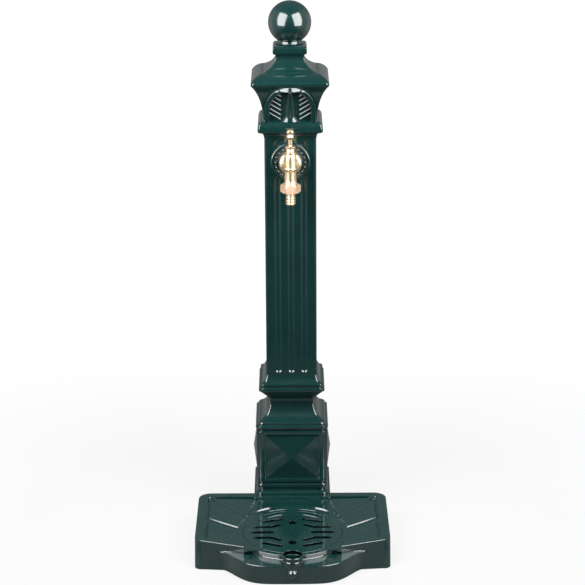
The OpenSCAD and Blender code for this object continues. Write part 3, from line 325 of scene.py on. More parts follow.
def turned(profile, centre, segments=96, forward=False):
    # A profile of (radius, along) turned about +Z through centre, or about the forward direction.
    p = np.asarray(profile, float)
    a = np.linspace(0, 2 * np.pi, segments, endpoint=False)
    x = p[:, :1] * np.cos(a)
    y = p[:, :1] * np.sin(a)
    s = np.repeat(p[:, 1:2], segments, 1)
    grid = np.stack([x, -s, y], -1) if forward else np.stack([x, y, s], -1)
    return grid + np.asarray(centre, float), False, True


def hexed(profile, flats, centre, segments=144, soft=0.5):
    # A hexagon cut back to the profile's radius: the smaller of the two at each angle, with a soft edge.
    p = np.asarray(profile, float)
    a = np.linspace(0, 2 * np.pi, segments, endpoint=False)
    side = flats / 2 / np.cos(np.mod(a, np.pi / 3) - np.pi / 6)
    low = np.minimum(p[:, :1], side[None])
    gap = np.abs(p[:, :1] - side[None])
    r = np.maximum(low - np.maximum(0, soft - gap) ** 2 / (4 * soft), 0)
    r = np.where(p[:, :1] < 1e-6, 0, r)
    grid = np.stack([r * np.cos(a), r * np.sin(a), np.repeat(p[:, 1:2], segments, 1)], -1)
    return grid + np.asarray(centre, float), False, True


def squareSweep(profile, cut, steps, relief=None):
    # A square ring at each height. Its corners are cut, and relief pushes a side out by a depth.
    half, z = np.asarray(profile, float).T[:, :, None]
    cutBack = np.minimum(cut(half), half)
    bend = np.linspace(0, 1, 7)[1:-1]
    sideways = 0.65 * bend + 0.35 * np.sin(bend * np.pi / 2)
    inward = 0.65 * (1 - bend) + 0.35 * np.cos(bend * np.pi / 2)
    columns = []
    for side in range(4):
        f = steps[side][None]
        u = f * (half - cutBack)
        out = half + (relief(side, u, z + 0 * u) if relief else 0 * u)
        corner = (half - cutBack) + cutBack * np.stack([sideways, inward])[:, None]
        across = np.concatenate([u, corner[0]], 1)
        outward = np.concatenate([out, corner[1]], 1)
        turn = [(across, -outward), (outward, across), (-across, outward), (-outward, -across)][side]
        columns.append(np.stack([turn[0], turn[1], z + 0 * across], -1))
    return np.concatenate(columns, 1), False, True


def closedEnds(profile):
    # A sweep whose ends run in to the axis.
    p = np.asarray(profile, float)
    return np.vstack([[0, p[0, 1]], p, [0, p[-1, 1]]])


def stacked(values, *keys):
    # The heights at which the parts of a stack end, one after the other.
    return np.cumsum([values[key] for key in keys])


def bothSides(right):
    # A line from its right end to the middle is carried on to the left.
    return np.vstack([right, right[-2::-1] * [-1, 1]])


def spread(count, crowd=0.0):
    # Places from -1 to 1, closer together near the ends when crowd is above 0.
    t = np.linspace(-1, 1, count)
    return t + crowd * np.sin(np.pi * t) / np.pi


# Finial

finialShape = {"ballRadius": 37.25, "neckRadius": 21.0, "footRadius": 25.0, "neckHeight": 6.0}


def buildFinial():
    # A ball on a hollow neck: the arc of the ball starts where it is as wide as the neck.
    d = Values(**finialShape)
    start = -math.acos(d.neckRadius / d.ballRadius)
    middle = d.neckHeight - d.ballRadius * math.sin(start)
    t = np.linspace(start, math.pi / 2, 72)
    ball = np.stack([d.ballRadius * np.cos(t), middle + d.ballRadius * np.sin(t)], 1)
    neck = arcOut((d.footRadius, 0.6), (d.neckRadius + 0.2, d.neckHeight - 0.3), 80)
    profile = np.vstack([[(0, 0), (d.footRadius - 0.6, 0)], neck, ball])
    profile[-1, 0] = 0
    return makePiece("finialBall", [turned(profile, (0, 0, finialZ), 128)], ["finial"])


# Capital

capitalShape = {
    "neck": 9.5, "collarHalf": 56.25, "collar": 6.5, "collarRound": 14.0, "bellHalf": 46.5, "bell": 63.0,
    "corniceHalf": 67.0, "cornice": 5.0, "corniceRound": 14.0, "filletHalf": 44.0, "fillet": 2.0,
    "hood": 21.5, "hoodHalf": 24.0, "hoodNeck": 6.0, "capHalf": 29.5, "cap": 14.5, "edge": 4.0,
    "archRadius": 43.5, "archBand": 7.5, "bandDepth": 9.0, "bandSlope": 3.4, "browHalf": 21.6,
    "browNear": 6.0, "browFar": 32.0, "browBack": -1.7, "browLow": 0.80, "browFull": 0.90,
    "nicheDepth": 9.0, "leaves": 6, "leafRadius": 2.2, "leafSlope": 32.0, "leafStart": 15.0,
    "leafDrop": 8.2, "stemRadius": 9.0, "stemFoot": 6.5, "stemTaper": 0.62,
}


def archFace(z):
    # How far in front of the axis the leaning face of the arch is at a height.
    d = Values(**capitalShape)
    foot = d.neck + d.collar + d.collarRound - 3
    head = foot + 4 + d.bell
    near, far = d.bellHalf + 5.5, d.corniceHalf - 2
    return near + (far - near) * (z - foot) / (head - foot)


def buildCapital():
    d = Values(**capitalShape)
    z1, z2, z3, z4, z5, z6, z7, z8, z9, z10 = stacked(
        capitalShape, "neck", "collar", "collarRound", "bell", "cornice", "corniceRound", "fillet", "hood",
        "hoodNeck", "cap")
    shaft = columnHalf + 0.5
    points = [(shaft, 0)] + arcUp((shaft, 1), (d.collarHalf - 3, z1)) \
        + [(d.collarHalf, z1 + 2), (d.collarHalf, z2)] \
        + arcUp((d.collarHalf, z2 + 0.5), (d.bellHalf + 2, z3 - 1)) \
        + arcUp((d.bellHalf, z3), (d.corniceHalf - 1, z4), 60, 40) \
        + [(d.corniceHalf, z4 + 1.5), (d.corniceHalf, z5)] \
        + arcUp((d.corniceHalf, z5), (d.filletHalf + 6, z6), 65, 14, 20) \
        + [(d.filletHalf, z6 + 0.5), (d.filletHalf - 0.5, z7)] \
        + arcOut((d.filletHalf - 0.5, z7), (d.hoodHalf, z8), 85, 14, 30) \
        + [(d.hoodHalf + 1, z9)] \
        + arcOut((d.hoodHalf + 3, z9), (d.capHalf, z9 + d.cap * 0.35)) \
        + arcUp((d.capHalf, z9 + d.cap * 0.5), (d.capHalf - 5, z10))
    profile = closedEnds(filled(softened(points, 0.9, 3), 1.4))
    profile[:, 1] += capitalZ
    archZ = capitalZ + z4 - d.archRadius
    middle = d.archRadius - d.archBand / 2
    outer = profile[:, 0][:, None]

    def niche(side, u, z):
        if side != 0:
            return 0 * u
        reach = np.where(z > archZ, np.hypot(u, z - archZ), np.abs(u))
        inside = smoothStep(middle + 1.0, middle - 1.0, reach)
        inside = inside * smoothStep(capitalZ + z3 - 1.5, capitalZ + z3 + 0.5, z)
        back = archFace(z - capitalZ) - d.nicheDepth
        return inside * (back - outer)

    def edgeCut(half):
        return d.edge * (half / d.corniceHalf) ** 2

    plain, fine = spread(26, 0.6), spread(120)
    body = squareSweep(profile, edgeCut, [fine, plain, plain, plain], niche)

    # The band follows two legs and a half circle, with a rounded section of its own width.
    turn = np.linspace(0, np.pi, 73)
    legs = np.linspace(capitalZ + z3 - 2, archZ, 10)[:-1]
    pathX = np.concatenate([np.full(9, middle), middle * np.cos(turn), np.full(9, -middle)])
    pathZ = np.concatenate([legs, archZ + middle * np.sin(turn), legs[::-1]])
    outX = np.concatenate([np.ones(9), np.cos(turn), -np.ones(9)])
    outZ = np.concatenate([np.zeros(9), np.sin(turn), np.zeros(9)])
    wide = d.archBand / 2
    back = d.bandDepth
    deep = [(0, back), (-wide, back), (-wide, 0), (wide, 0), (wide, back), (0, back)]
    deep = filled(softened(deep, 0.9, 5), 1.2)
    x = pathX[:, None] + outX[:, None] * deep[None, :, 0]
    z = pathZ[:, None] + outZ[:, None] * deep[None, :, 0]
    # The top of the arch swells forward: its face turns away from the middle at a steady rate.
    nearTurn, farTurn = math.radians(d.browNear), math.radians(d.browFar)
    rate = (farTurn - nearTurn) / d.browHalf
    swell = np.log(np.cos(nearTurn + rate * np.minimum(np.abs(x), d.browHalf)))
    swell = swell - math.log(math.cos(farTurn))
    high = smoothStep(archZ + d.browLow * middle, archZ + d.browFull * middle, z)
    tilt = d.bandSlope * (deep[None, :, 0] + wide) / (2 * wide)
    y = -archFace(z - capitalZ) + deep[None, :, 1] - high * (swell / rate - d.browBack - tilt)
    band = np.stack([x, y, z], -1)
    caps = [np.repeat(band[k].mean(0)[None, None], band.shape[1], 1) for k in (0, -1)]
    band = np.concatenate([caps[0], band, caps[1]], 0)

    # Leaves are round reeds that rise from the stem to the arch, thinner at both ends.
    slope = math.radians(d.leafSlope)
    inner = d.archRadius - d.archBand + 1.5
    rise = (d.bell - 12) / d.leaves
    startZ = capitalZ + z3 - d.leafDrop + rise * np.arange(d.leaves)
    b = (startZ - archZ) * math.sin(slope)
    c = (startZ - archZ) ** 2 - inner ** 2
    far = -b + np.sqrt(np.maximum(b * b - c, 0))
    far = np.where(startZ + far * math.sin(slope) < archZ, inner / math.cos(slope), far)
    near = d.leafStart / math.cos(slope)
    t = np.linspace(0, 1, 22)
    along = near + (far[:, None] - near) * t
    around = np.linspace(0, 2 * np.pi, 16, endpoint=False)
    thick = d.leafRadius * np.sqrt(np.clip(1 - (2 * t - 1) ** 8, 0, 1))
    leaves = []
    for sign in (-1, 1):
        cx = sign * along * math.cos(slope)
        cz = startZ[:, None] + along * math.sin(slope)
        px = cx[..., None] - sign * math.sin(slope) * thick[None, :, None] * np.cos(around)
        pz = cz[..., None] + math.cos(slope) * thick[None, :, None] * np.cos(around)
        depth = archFace(cz - capitalZ) - d.nicheDepth + 0.4
        py = -depth[..., None] - thick[None, :, None] * np.sin(around)
        leaves += [(g, False, True) for g in np.stack([px, py, pz], -1)]

    # The stem is a tapering round with a flared foot that leans with the niche.
    t = np.linspace(0, 1, 56)
    height = z3 - 1 + t * (d.bell - 6)
    radius = d.stemRadius * (1 - d.stemTaper * t) * np.sqrt(np.clip(1 - t ** 10, 0, 1))
    flare = d.stemFoot * np.exp(-t / 0.09)
    a = np.linspace(0, 2 * np.pi, 40, endpoint=False)
    sx = (radius + flare)[:, None] * np.cos(a)
    sy = -(archFace(height) - d.nicheDepth)[:, None]
    sy = sy - (0.75 * radius + 0.3 * flare)[:, None] * np.sin(a)
    stem = np.stack([sx, sy, (capitalZ + height)[:, None] + 0 * sx], -1)
    stem = np.concatenate([np.repeat(stem[:1].mean(1, keepdims=True), 40, 1), stem], 0)
    makePiece("capitalBody", [body], ["capital"])
    makePiece("capitalArch", [(band, False, True)])
    makePiece("capitalPalmette", leaves + [(stem, False, True)])


# Column

columnShape = {"edge": 3.0, "fluteRadius": 8.5, "fluteDepth": 2.2, "flutePitch": 23.0, "margin": 5.0}


def buildColumn():
    d = Values(**columnShape)
    low, high = columnLow[2], columnHigh[2]
    reach = math.sqrt(d.fluteDepth * (2 * d.fluteRadius - d.fluteDepth))
    start, end = low + d.margin + reach, high - d.margin - reach
    ends = np.linspace(0, reach + d.margin, 20)
    z = np.concatenate([low + ends, np.linspace(start + 3, end - 3, 40), high - ends[::-1]])
    profile = closedEnds(np.stack([np.full(len(z), columnHalf), z], 1))

    def flutes(side, u, z):
        past = np.maximum(0, np.maximum(start - z, z - end))
        near = np.abs(u - d.flutePitch * np.clip(np.round(u / d.flutePitch), -1, 1))
        bowl = d.fluteRadius ** 2 - past ** 2 - near ** 2
        deep = np.sqrt(np.maximum(bowl, 0)) - (d.fluteRadius - d.fluteDepth)
        return -np.maximum(deep, 0)

    shaft = squareSweep(profile, lambda half: np.minimum(half, d.edge), [spread(110)] * 4, flutes)
    makePiece("flutedColumn", [shaft], ["column"])


# Pedestal

pedestalShape = {
    "footHalf": 66.0, "foot": 8.0, "quirk": 5.0, "quirkIn": 3.5, "bead": 11.0, "dieHalf": 64.0, "die": 100.0,
    "crownHalf": 65.0, "crown": 14.0, "roof": 30.0, "waistHalf": 38.5, "waist": 5.0, "under": 19.0,
    "beltHalf": 58.75, "belt": 6.0, "shoulder": 17.0, "edge": 8.0, "panelHalf": 48.5, "panelHigh": 42.5,
    "frameCut": 2.0, "frameGap": 2.0, "pyramid": 6.0,
}


def buildPedestal():
    d = Values(**pedestalShape)
    z1, z2, z3, z4, z5, z6, z7, z8, z9, z10, z11 = stacked(
        pedestalShape, "foot", "quirk", "bead", "die", "quirk", "crown", "roof", "waist", "under", "belt",
        "quirk")
    die, crown, belt = d.dieHalf, d.crownHalf, d.beltHalf
    groove = die - d.quirkIn
    middle = z3 + d.die / 2
    step = np.array([-0.9, -0.45, 0, 0.45, 0.9])
    frameRows = np.concatenate([middle - d.panelHigh + step, middle + d.panelHigh + step])
    points = [(d.footHalf, 0), (d.footHalf, z1 * 0.6), (groove + 1, z1), (groove, z1 + 0.4),
              (groove, z2)] \
        + arcOut((groove + 0.3, z2 + 0.1), (die, z2 + d.bead / 2)) \
        + arcUp((die, z2 + d.bead / 2 + 0.1), (groove + 0.3, z3 - 1)) \
        + [(groove, z3), (die, z3 + 1.5)] + [(die, k) for k in frameRows] \
        + [(die, z4 - 0.5), (groove, z4 + 1), (groove, z5 - 1), (crown, z5),
           (crown, z5 + d.crown * 0.3), (crown - 4, z5 + d.crown * 0.4)] \
        + arcUp((crown - 4, z5 + d.crown * 0.5), (crown - 9, z5 + d.crown * 0.9), 75) \
        + arcOut((crown - 11, z6), (d.waistHalf, z7), 85, 24, 25) \
        + [(d.waistHalf, z8), (belt - 2, z9), (belt, z9 + 1), (belt, z10), (belt - d.quirkIn, z10 + 1),
           (belt - d.quirkIn, z11 - 1), (belt - 2, z11)] \
        + arcOut((belt - 2.5, z11 + 3), (columnHalf + 0.5, z11 + d.shoulder), 60, 16)
    profile = closedEnds(filled(softened(points, 0.9, 3), 4.0))
    profile[:, 1] += pedestalZ
    middle = pedestalZ + middle

    def sunkFrame(side, u, z):
        edge = np.maximum(np.abs(u) - d.panelHalf, np.abs(z - middle) - d.panelHigh)
        return -d.frameCut * smoothStep(0.6, -0.6, edge)

    def edgeCut(half):
        return d.edge * (half / d.footHalf) ** 3

    flat = die - edgeCut(die)
    frameAt = (d.panelHalf + step) / flat
    steps = np.unique(np.concatenate([np.linspace(-1, 1, 41), frameAt, -frameAt]))
    body = squareSweep(profile, edgeCut, [steps] * 4, sunkFrame)

    # Each pyramid is a rectangle that shrinks to its peak, with the ridges a little blunt.
    wide, high = d.panelHalf - d.frameGap, d.panelHigh - d.frameGap
    run = np.concatenate([[-1, -0.985], np.linspace(-0.97, 0.97, 13), [0.985, 1]])
    blunt = 1 - 0.006 * (np.abs(run) > 0.99)
    loop = np.concatenate([np.stack([run * blunt, -blunt], 1), np.stack([blunt, run * blunt], 1),
                           np.stack([-run * blunt, blunt], 1), np.stack([-blunt, -run * blunt], 1)])
    share = np.array([0, 1, 1, 0.992, 0.9, 0.7, 0.5, 0.3, 0.15, 0.05, 0.012, 0])
    peak = d.pyramid + d.frameCut
    rise = np.concatenate([[-1.5, -1.5, 0], peak * (1 - share[3:-1]), [peak * 0.993]])
    across = share[:, None] * loop[:, 0] * wide
    up = share[:, None] * loop[:, 1] * high + middle
    out = die - d.frameCut + rise[:, None] + 0 * up
    pyramids = [(np.stack([c * out - s * across, s * out + c * across, up], -1), False, True)
                for c, s in ((1, 0), (0, 1), (-1, 0), (0, -1))]
    makePiece("pedestalBody", [body], ["pedestal"])
    makePiece("pedestalPyramids", pyramids)


# Tray

trayShape = {
    "half": 169.5, "height": 50.0, "back": -53.0, "front": -252.0, "nose": 9.0, "corner": 22.0, "wall": 5.0,
    "rim": 17.0, "rimEdge": 1.6, "panelLow": 43.0, "panelRise": 4.0, "panelStep": 2.9, "panelEdge": 1.7,
    "gutter": 3.0, "slantHalf": 84.0, "slantFront": -281.0, "slantShare": 0.6, "apron": 34.0,
    "apronEdge": 2.0, "foot": 2.6, "footEnd": 125.0, "overhang": 9.0,
    "bowHalf": 127.0, "bowTip": -266.0, "bowFront": -325.0, "bowPower": 2.45,
    "grooveNear": (34.0, 5.0), "grooveFar": (42.0, 17.5), "grooveReach": (192.0, 163.0),
    "grooveWidth": (9.0, 11.0), "grooveSink": 0.6,
    "tongueRise": 3.0, "tongueBack": 63.0, "tongueFront": 79.0, "spill": 42.0, "pocket": 8.0,
    "platformHalf": 69.0, "platformBack": 69.0, "platformFront": -74.0, "platformEdge": 1.5, "deck": 6.0,
    "recess": 87.0, "ring": 96.0, "seat": 37.0, "sump": 80.0, "sumpFloor": 15.0, "drain": 20.0,
    "socketY": -312.5, "socketBore": 13.0, "mouth": 16.3, "mouthDepth": 14.0, "lip": 18.5, "belly": 17.6,
    "socketStem": 10.0, "socketNeck": 21.0, "socketFloor": 22.0, "anchor": 5.5, "drop": 9.5, "dropUp": 19.0,
}


def segmentDistance(x, y, a, b):
    # Distance to a straight run from a to b.
    run = np.subtract(b, a)
    t = np.clip(((x - a[0]) * run[0] + (y - a[1]) * run[1]) / (run @ run), 0, 1)
    return np.hypot(x - a[0] - t * run[0], y - a[1] - t * run[1])


def quarter(value, width):
    # A rounded edge: upright where value is 0 and level from width on.
    return np.sin(np.pi / 2 * np.clip(value / width, 0, 1))


def polar(radius, degrees):
    return np.stack([radius * np.cos(np.radians(degrees)), radius * np.sin(np.radians(degrees))], -1)


def capped(grid):
    # A tube of closed rows gets an end point at its first and last column.
    first, last = [np.repeat(grid[:, k].mean(0)[None, None], grid.shape[0], 0) for k in (0, -1)]
    return np.concatenate([first, grid, last], 1)


def mirrored(grid):
    return grid * np.array([-1, 1, 1])


def edgeRound(edge, top, steps):
    # The rounded upper edge of a wall, as (inset, height), from its side to its top.
    return [(edge - edge * math.cos(k), top - edge + edge * math.sin(k))
            for k in np.linspace(0, np.pi / 2, steps)]


def slantLine(ax):
    # Where the slanting front edge is at a distance from the middle.
    d = Values(**trayShape)
    slope = (d.front - 2 - d.slantFront) / (d.half - d.nose - d.slantHalf)
    return d.slantFront + slope * (ax - d.slantHalf)


def ringFront():
    # The angle round the grate at which the slanting front meets the ring.
    d = Values(**trayShape)
    ahead = d.slantFront - grateY
    return math.degrees(math.atan2(ahead, math.sqrt(d.ring ** 2 - ahead ** 2)))


def upperLine(inset):
    # Right half outline of the upper level drawn in by inset, from the platform to the slanting front.
    d = Values(**trayShape)
    half, back = d.half - inset, d.back - inset
    r = max(d.corner - inset, 2.0)
    t = np.linspace(0, np.pi / 2, 13)
    corner = np.stack([half - r + r * np.sin(t), back - r + r * np.cos(t)], 1)
    front = [corner[-1], (half, d.front + d.nose + inset / 2),
             (d.half - d.nose - inset / 2, d.front - 2 + d.slantShare * inset),
             (d.slantHalf, d.slantFront + d.slantShare * inset)]
    return np.vstack([[(d.platformHalf - 3, back)], corner, softened(front, 4.0, 6, -2.0)[1:]])


def insetAt(ax, y):
    # How far a point lies inside that outline.
    d = Values(**trayShape)
    ahead = (y - slantLine(ax)) / d.slantShare
    return np.minimum(np.minimum(d.half - ax, d.back - y), ahead)


def grooveEnds(k):
    d = Values(**trayShape)
    return polar(d.ring, d.grooveNear[k]), polar(d.grooveReach[k], d.grooveFar[k])


def panelHeight(x, y):
    # A shallow cone round the ring, with raised panels between the grooves and a raised tongue under the tap.
    d = Values(**trayShape)
    ax, r = np.abs(x), np.hypot(x, y - grateY)
    cone = d.panelLow - 0.1 + d.panelRise * np.maximum(r - d.ring, 0) / d.half
    sideY = grateY + math.sqrt(d.ring ** 2 - d.tongueFront ** 2)
    down = np.clip((d.platformFront - y) / (d.platformFront - sideY), 0, 1.2)
    side = d.tongueBack + (d.tongueFront - d.tongueBack) * down
    within = insetAt(ax, y) - d.rim
    inside = np.minimum(np.minimum(within - d.gutter, r - d.ring - 1), ax - side - d.gutter)
    field = np.minimum(within - 1, r - d.ring - 3)
    sunk = 0 * r
    for k in range(2):
        near, far = grooveEnds(k)
        past = segmentDistance(ax, y - grateY, near, far) - d.grooveWidth[k] / 2
        inside = np.minimum(inside, past)
        sunk = np.maximum(sunk, quarter(np.minimum(-past, field), d.panelEdge))
    panels = d.panelStep * quarter(inside, d.panelEdge) - d.grooveSink * sunk
    raised = quarter(np.minimum(side - ax, r - d.ring - d.pocket), d.panelEdge)
    ramp = quarter(d.spill - ax, d.panelEdge)
    ramp = ramp * smoothStep(d.ring - 6, d.ring + d.pocket + 4, r)
    tongue = d.tongueRise * np.where(y > grateY, np.maximum(raised, ramp), 0)
    lip = 1.4
    fall = lip * (1 - quarter(y - d.slantFront, lip))
    return cone + np.where(tongue > 0, np.maximum(panels, tongue), panels) - fall


def panelSheet():
    # Straight lines lead from the ring to the rim, in step with the grooves, at the heights of panelHeight.
    d = Values(**trayShape)
    start, hidden = d.ring - 1, 12.0
    back, beside = d.platformFront + 2, d.platformHalf
    outline = np.vstack([[(0, back), (beside - 3, back), (beside + 1, d.back - hidden)],
                         upperLine(hidden)[1:], [(d.slantHalf, d.slantFront)]])
    outline = filled(outline - [0, grateY], 1.0)
    turn = np.degrees(np.arctan2(outline[:, 1], outline[:, 0]))
    reach = np.linalg.norm(outline, axis=1)

    def edgeAngles(k, shift):
        # Where the edge of a groove leaves the ring and meets the rim.
        near, far = grooveEnds(k)
        way = (far - near) / np.linalg.norm(far - near)
        line = near + shift * np.array([way[1], -way[0]]) + np.linspace(-20, 140, 1601)[:, None] * way
        out = np.hypot(*line.T) > start
        past = out & (insetAt(line[:, 0], line[:, 1] + grateY) < hidden)
        return [math.degrees(math.atan2(*line[np.argmax(hit)][::-1])) for hit in (out, past)]

    def backAngle(x):
        return math.degrees(math.atan2(back - grateY, x))

    half = np.array(d.grooveWidth) / 2
    keys = np.array([
        (90.0, 90.0), (math.degrees(math.acos(d.spill / start)), backAngle(d.spill)),
        (36.6, backAngle(d.tongueBack)), (35.6, backAngle(d.tongueBack + d.gutter)),
        (34.6, edgeAngles(0, -half[0])[1]), edgeAngles(0, half[0]),
        edgeAngles(1, -half[1]), edgeAngles(1, half[1]), (ringFront(), turn[-1])])
    counts = (18, 20, 8, 36, 12, 36, 12, 50)
    blend = [(1 - np.cos(np.pi * np.arange(n) / n)) / 2 for n in counts]
    angles = [a + (b - a) * t[:, None] for a, b, t in zip(keys[:-1], keys[1:], blend)]
    angles = np.vstack(angles + [keys[-1:]])
    inner = polar(start, angles[:, 0])
    outer = polar(np.interp(angles[:, 1], turn[::-1], reach[::-1]), angles[:, 1])
    u = np.linspace(0, 1, 140)[:, None, None]
    top = inner + (outer - inner) * u
    x, y = top[..., 0], top[..., 1] + grateY
    top = np.stack([x, y, panelHeight(x, y)], -1)
    below = top[[-1, -30, 30, 0]]
    front = below[..., 1] < d.slantFront + 4
    below[..., 2] = np.where(front, d.apron - 3, d.panelLow - d.wall)
    below[..., 1] += np.where(front, 0.9 * d.overhang, 0)
    half = np.concatenate([top, below], 0)
    return capped(np.concatenate([half[:, ::-1], mirrored(half)[:, 1:]], 1)), True, False


def rimGrid():
    # The rim's section carried along outlines that are drawn in step by step.
    d = Values(**trayShape)
    top, e, rim, low = d.height - 0.04, d.rimEdge, d.rim, d.panelLow - d.wall
    t = np.linspace(0, np.pi / 2, 7)
    inside = [(rim - e + e * math.sin(k), top - e + e * math.cos(k)) for k in t]
    section = [(d.wall, 0), (0.8, 0), (0, 0.8), (0, d.apron)] + edgeRound(e, top, 7) + inside \
        + [(rim + 0.4, low + 3), (rim, low), (d.wall, low)]
    lines = np.array([np.insert(upperLine(inset), 2, z, axis=1) for inset, z in section])
    # The foot of the wall runs straight to the tip of the bow, and stands behind the rim above the bow.
    x, y = lines[:4, :, 0], lines[:4, :, 1]
    share = np.array([1, 1, 1, 1 - d.apron / d.height])[:, None]
    move = share * np.minimum(0, d.bowTip + 1 - y) \
        + d.overhang * np.clip((d.bowHalf - x) / (d.bowHalf - d.slantHalf), 0, 1)
    lines[:4, :, 1] += smoothStep(d.front + 30, d.front - 2, y) * move
    return capped(lines)


def blockGrid(halfX, halfY, middleY, section, corner):
    # A rectangle with round corners, drawn in along the section.
    t = np.linspace(0, np.pi / 2, 6)
    turn = np.concatenate([t + k * np.pi / 2 for k in range(4)])
    signX = np.repeat([1, -1, -1, 1], 6)
    signY = np.repeat([1, 1, -1, -1], 6)
    inset, z = np.asarray(section, float).T[:, :, None]
    r = np.maximum(corner - inset, 0.3)
    x = signX * (halfX - inset - r) + r * np.cos(turn)
    y = signY * (halfY - inset - r) + r * np.sin(turn) + middleY
    return np.stack([x, y, z + 0 * x], -1), True, True


def bowGrid():
    # A low apron whose front edge is a wave that is full in the middle and dies out at its tips.
    d = Values(**trayShape)
    bowX = np.linspace(d.bowHalf, 0, 91)
    wave = (1 + np.cos(np.pi * (bowX / d.bowHalf) ** d.bowPower)) / 2
    right = np.stack([bowX, d.bowTip + (d.bowFront - d.bowTip) * wave], 1)
    line = bothSides(right) - [0, grateY]
    far = np.linalg.norm(line, axis=1)
    way = line / far[:, None]
    back = np.minimum(d.ring - 6, far - 30)
    e, top = d.apronEdge, d.apron
    t = np.linspace(0.2, np.pi / 2, 6)
    section = [(back, 6), (back, top)] \
        + [(back + (far - e - back) * k, top) for k in np.linspace(0.02, 1, 40)] \
        + [(far - e + e * math.sin(k), top - e + e * math.cos(k)) for k in t] \
        + [(far, k) for k in (24, 16, 8, 1)] + [(far - 1, 0), (far - d.wall, 0)]
    bow = np.stack([np.column_stack([k[:, None] * way, np.full(len(far), float(z))]) for k, z in section])
    bow[..., 1] += grateY
    inCup = np.hypot(bow[..., 0], bow[..., 1] - d.socketY) < d.mouth + 0.7
    inCup = inCup & (bow[..., 1] > d.bowFront + 3)
    bow[..., 2] = np.where(inCup, np.minimum(bow[..., 2], d.socketFloor - 2), bow[..., 2])
    return capped(bow), True, False


def footGrid():
    # A hollow fillet along the foot of the slanting front and round the ring.
    d = Values(**trayShape)
    ring = polar(d.ring, np.linspace(ringFront(), -90, 30)) + [0, grateY]
    under = d.overhang * (d.bowHalf - d.footEnd) / (d.bowHalf - d.slantHalf)
    corners = [(d.footEnd, slantLine(d.footEnd) + under),
               (d.slantHalf, d.slantFront + d.overhang),
               ring[0] + [2, 0.8 * d.overhang], ring[4]]
    line = bothSides(np.vstack([filled(softened(corners, 6.0, 8), 2.0), ring[5:]]))
    along = np.gradient(line, axis=0)
    along = along / np.linalg.norm(along, axis=1)[:, None]
    out = np.stack([-along[:, 1], along[:, 0]], 1)
    f, low = d.foot, d.apron
    t = np.linspace(0, np.pi / 2, 9)
    hollow = [(f - f * math.sin(k), low + 0.05 + f - f * math.cos(k)) for k in t]
    section = [(-1, low - 1), (f + 0.2, low - 1)] + hollow + [(-1, low + f)]
    size = 0.05 + 0.95 * smoothStep(d.footEnd, d.footEnd - 12, np.abs(line[:, :1]))
    grid = np.stack([np.hstack([line + o * size * out, low + (z - low) * size]) for o, z in section])
    return capped(grid), True, False


def buildTray():
    d = Values(**trayShape)
    low, floor, wall = d.panelLow, d.sumpFloor, d.wall
    drain, sump, recess, ring = d.drain, d.sump, d.recess, d.ring
    bowl = [(drain, 0), (drain, floor), (sump, floor), (sump, d.seat), (recess, d.seat), (recess, low),
            (ring, low), (ring, 33), (sump + wall, 32), (sump + wall, 0), (sump, 0), (sump, floor - wall),
            (drain + wall, floor - wall), (drain + wall, 0)]
    bowl = turned(softened(bowl, 1.1, 4), (0, grateY, 0), 160)[0]
    top = d.height
    deck = top - d.deck
    section = [(wall, 0), (0.8, 0), (0, 0.8)] + edgeRound(d.platformEdge, top, 6) \
        + [(62, top), (62, deck), (wall, deck)]
    middle = (d.platformBack + d.platformFront) / 2
    platform = blockGrid(d.platformHalf, d.platformBack - middle, middle, section, 2.0)
    rim = rimGrid()
    parts = [(rim, True, False), (mirrored(rim), True, False), (bowl, True, True), platform]
    makePiece("trayBody", parts, ["basin"])
    makePiece("trayPanels", [panelSheet()], crease=180)
    makePiece("trayBow", [bowGrid(), footGrid()])

    # The socket: a round cup with a thin lip and a flared mouth, and the round drop below it.
    at = (0, d.socketY, 0)
    floor, stem, mouth, bore, hole = d.socketFloor, d.socketStem, d.mouth, d.socketBore, d.anchor
    belly, lip, neck, step = d.belly, d.lip, floor + d.socketNeck, top - d.mouthDepth
    cup = [(hole, 0), (stem, 0), (stem, floor)] + arcOut((stem + 0.5, floor + 2), (belly, floor + 14)) \
        + arcUp((belly, floor + 14.3), (belly - 3, neck), 80) \
        + [(lip, neck + 2.5), (lip, top - 1), (lip - 1, top), (mouth, top), (mouth, step), (bore, step - 2),
           (bore, floor), (hole, floor)]
    cup = turned(softened(cup, 0.8, 4), at)[0]
    t = np.linspace(-np.pi / 2, np.pi / 2, 33)
    ball = np.stack([d.drop * np.cos(t), d.dropUp + d.drop * np.sin(t)], 1)
    drop = turned(ball, (0, d.bowFront + 0.2 * d.drop, 0), 64)
    makePiece("traySocket", [(cup, True, True), drop])
    # A thin near-black lining of the mouth and the bore, without shine: painted shade that keeps the hole
    # dark.
    wide, narrow, step, hole = mouth - 0.3, bore - 0.3, step + 0.6, hole + 0.2
    liner = [(wide, top - 1), (wide, step), (narrow, step - 2), (narrow, floor + 0.1), (hole, floor + 0.1),
             (hole, floor + 0.2), (narrow - 0.1, floor + 0.2), (narrow - 0.1, step - 1.9),
             (wide - 0.1, step + 0.1), (wide - 0.1, top - 1)]
    makePiece("traySocketShadeLiner", [(turned(liner, at)[0], True, True)], finish=paintedShadeBlack)


# Grate

grateShape = {"widening": 1.2, "undercut": 2.2, "border": 6.0, "holeHalf": 14.0, "easing": 0.3}


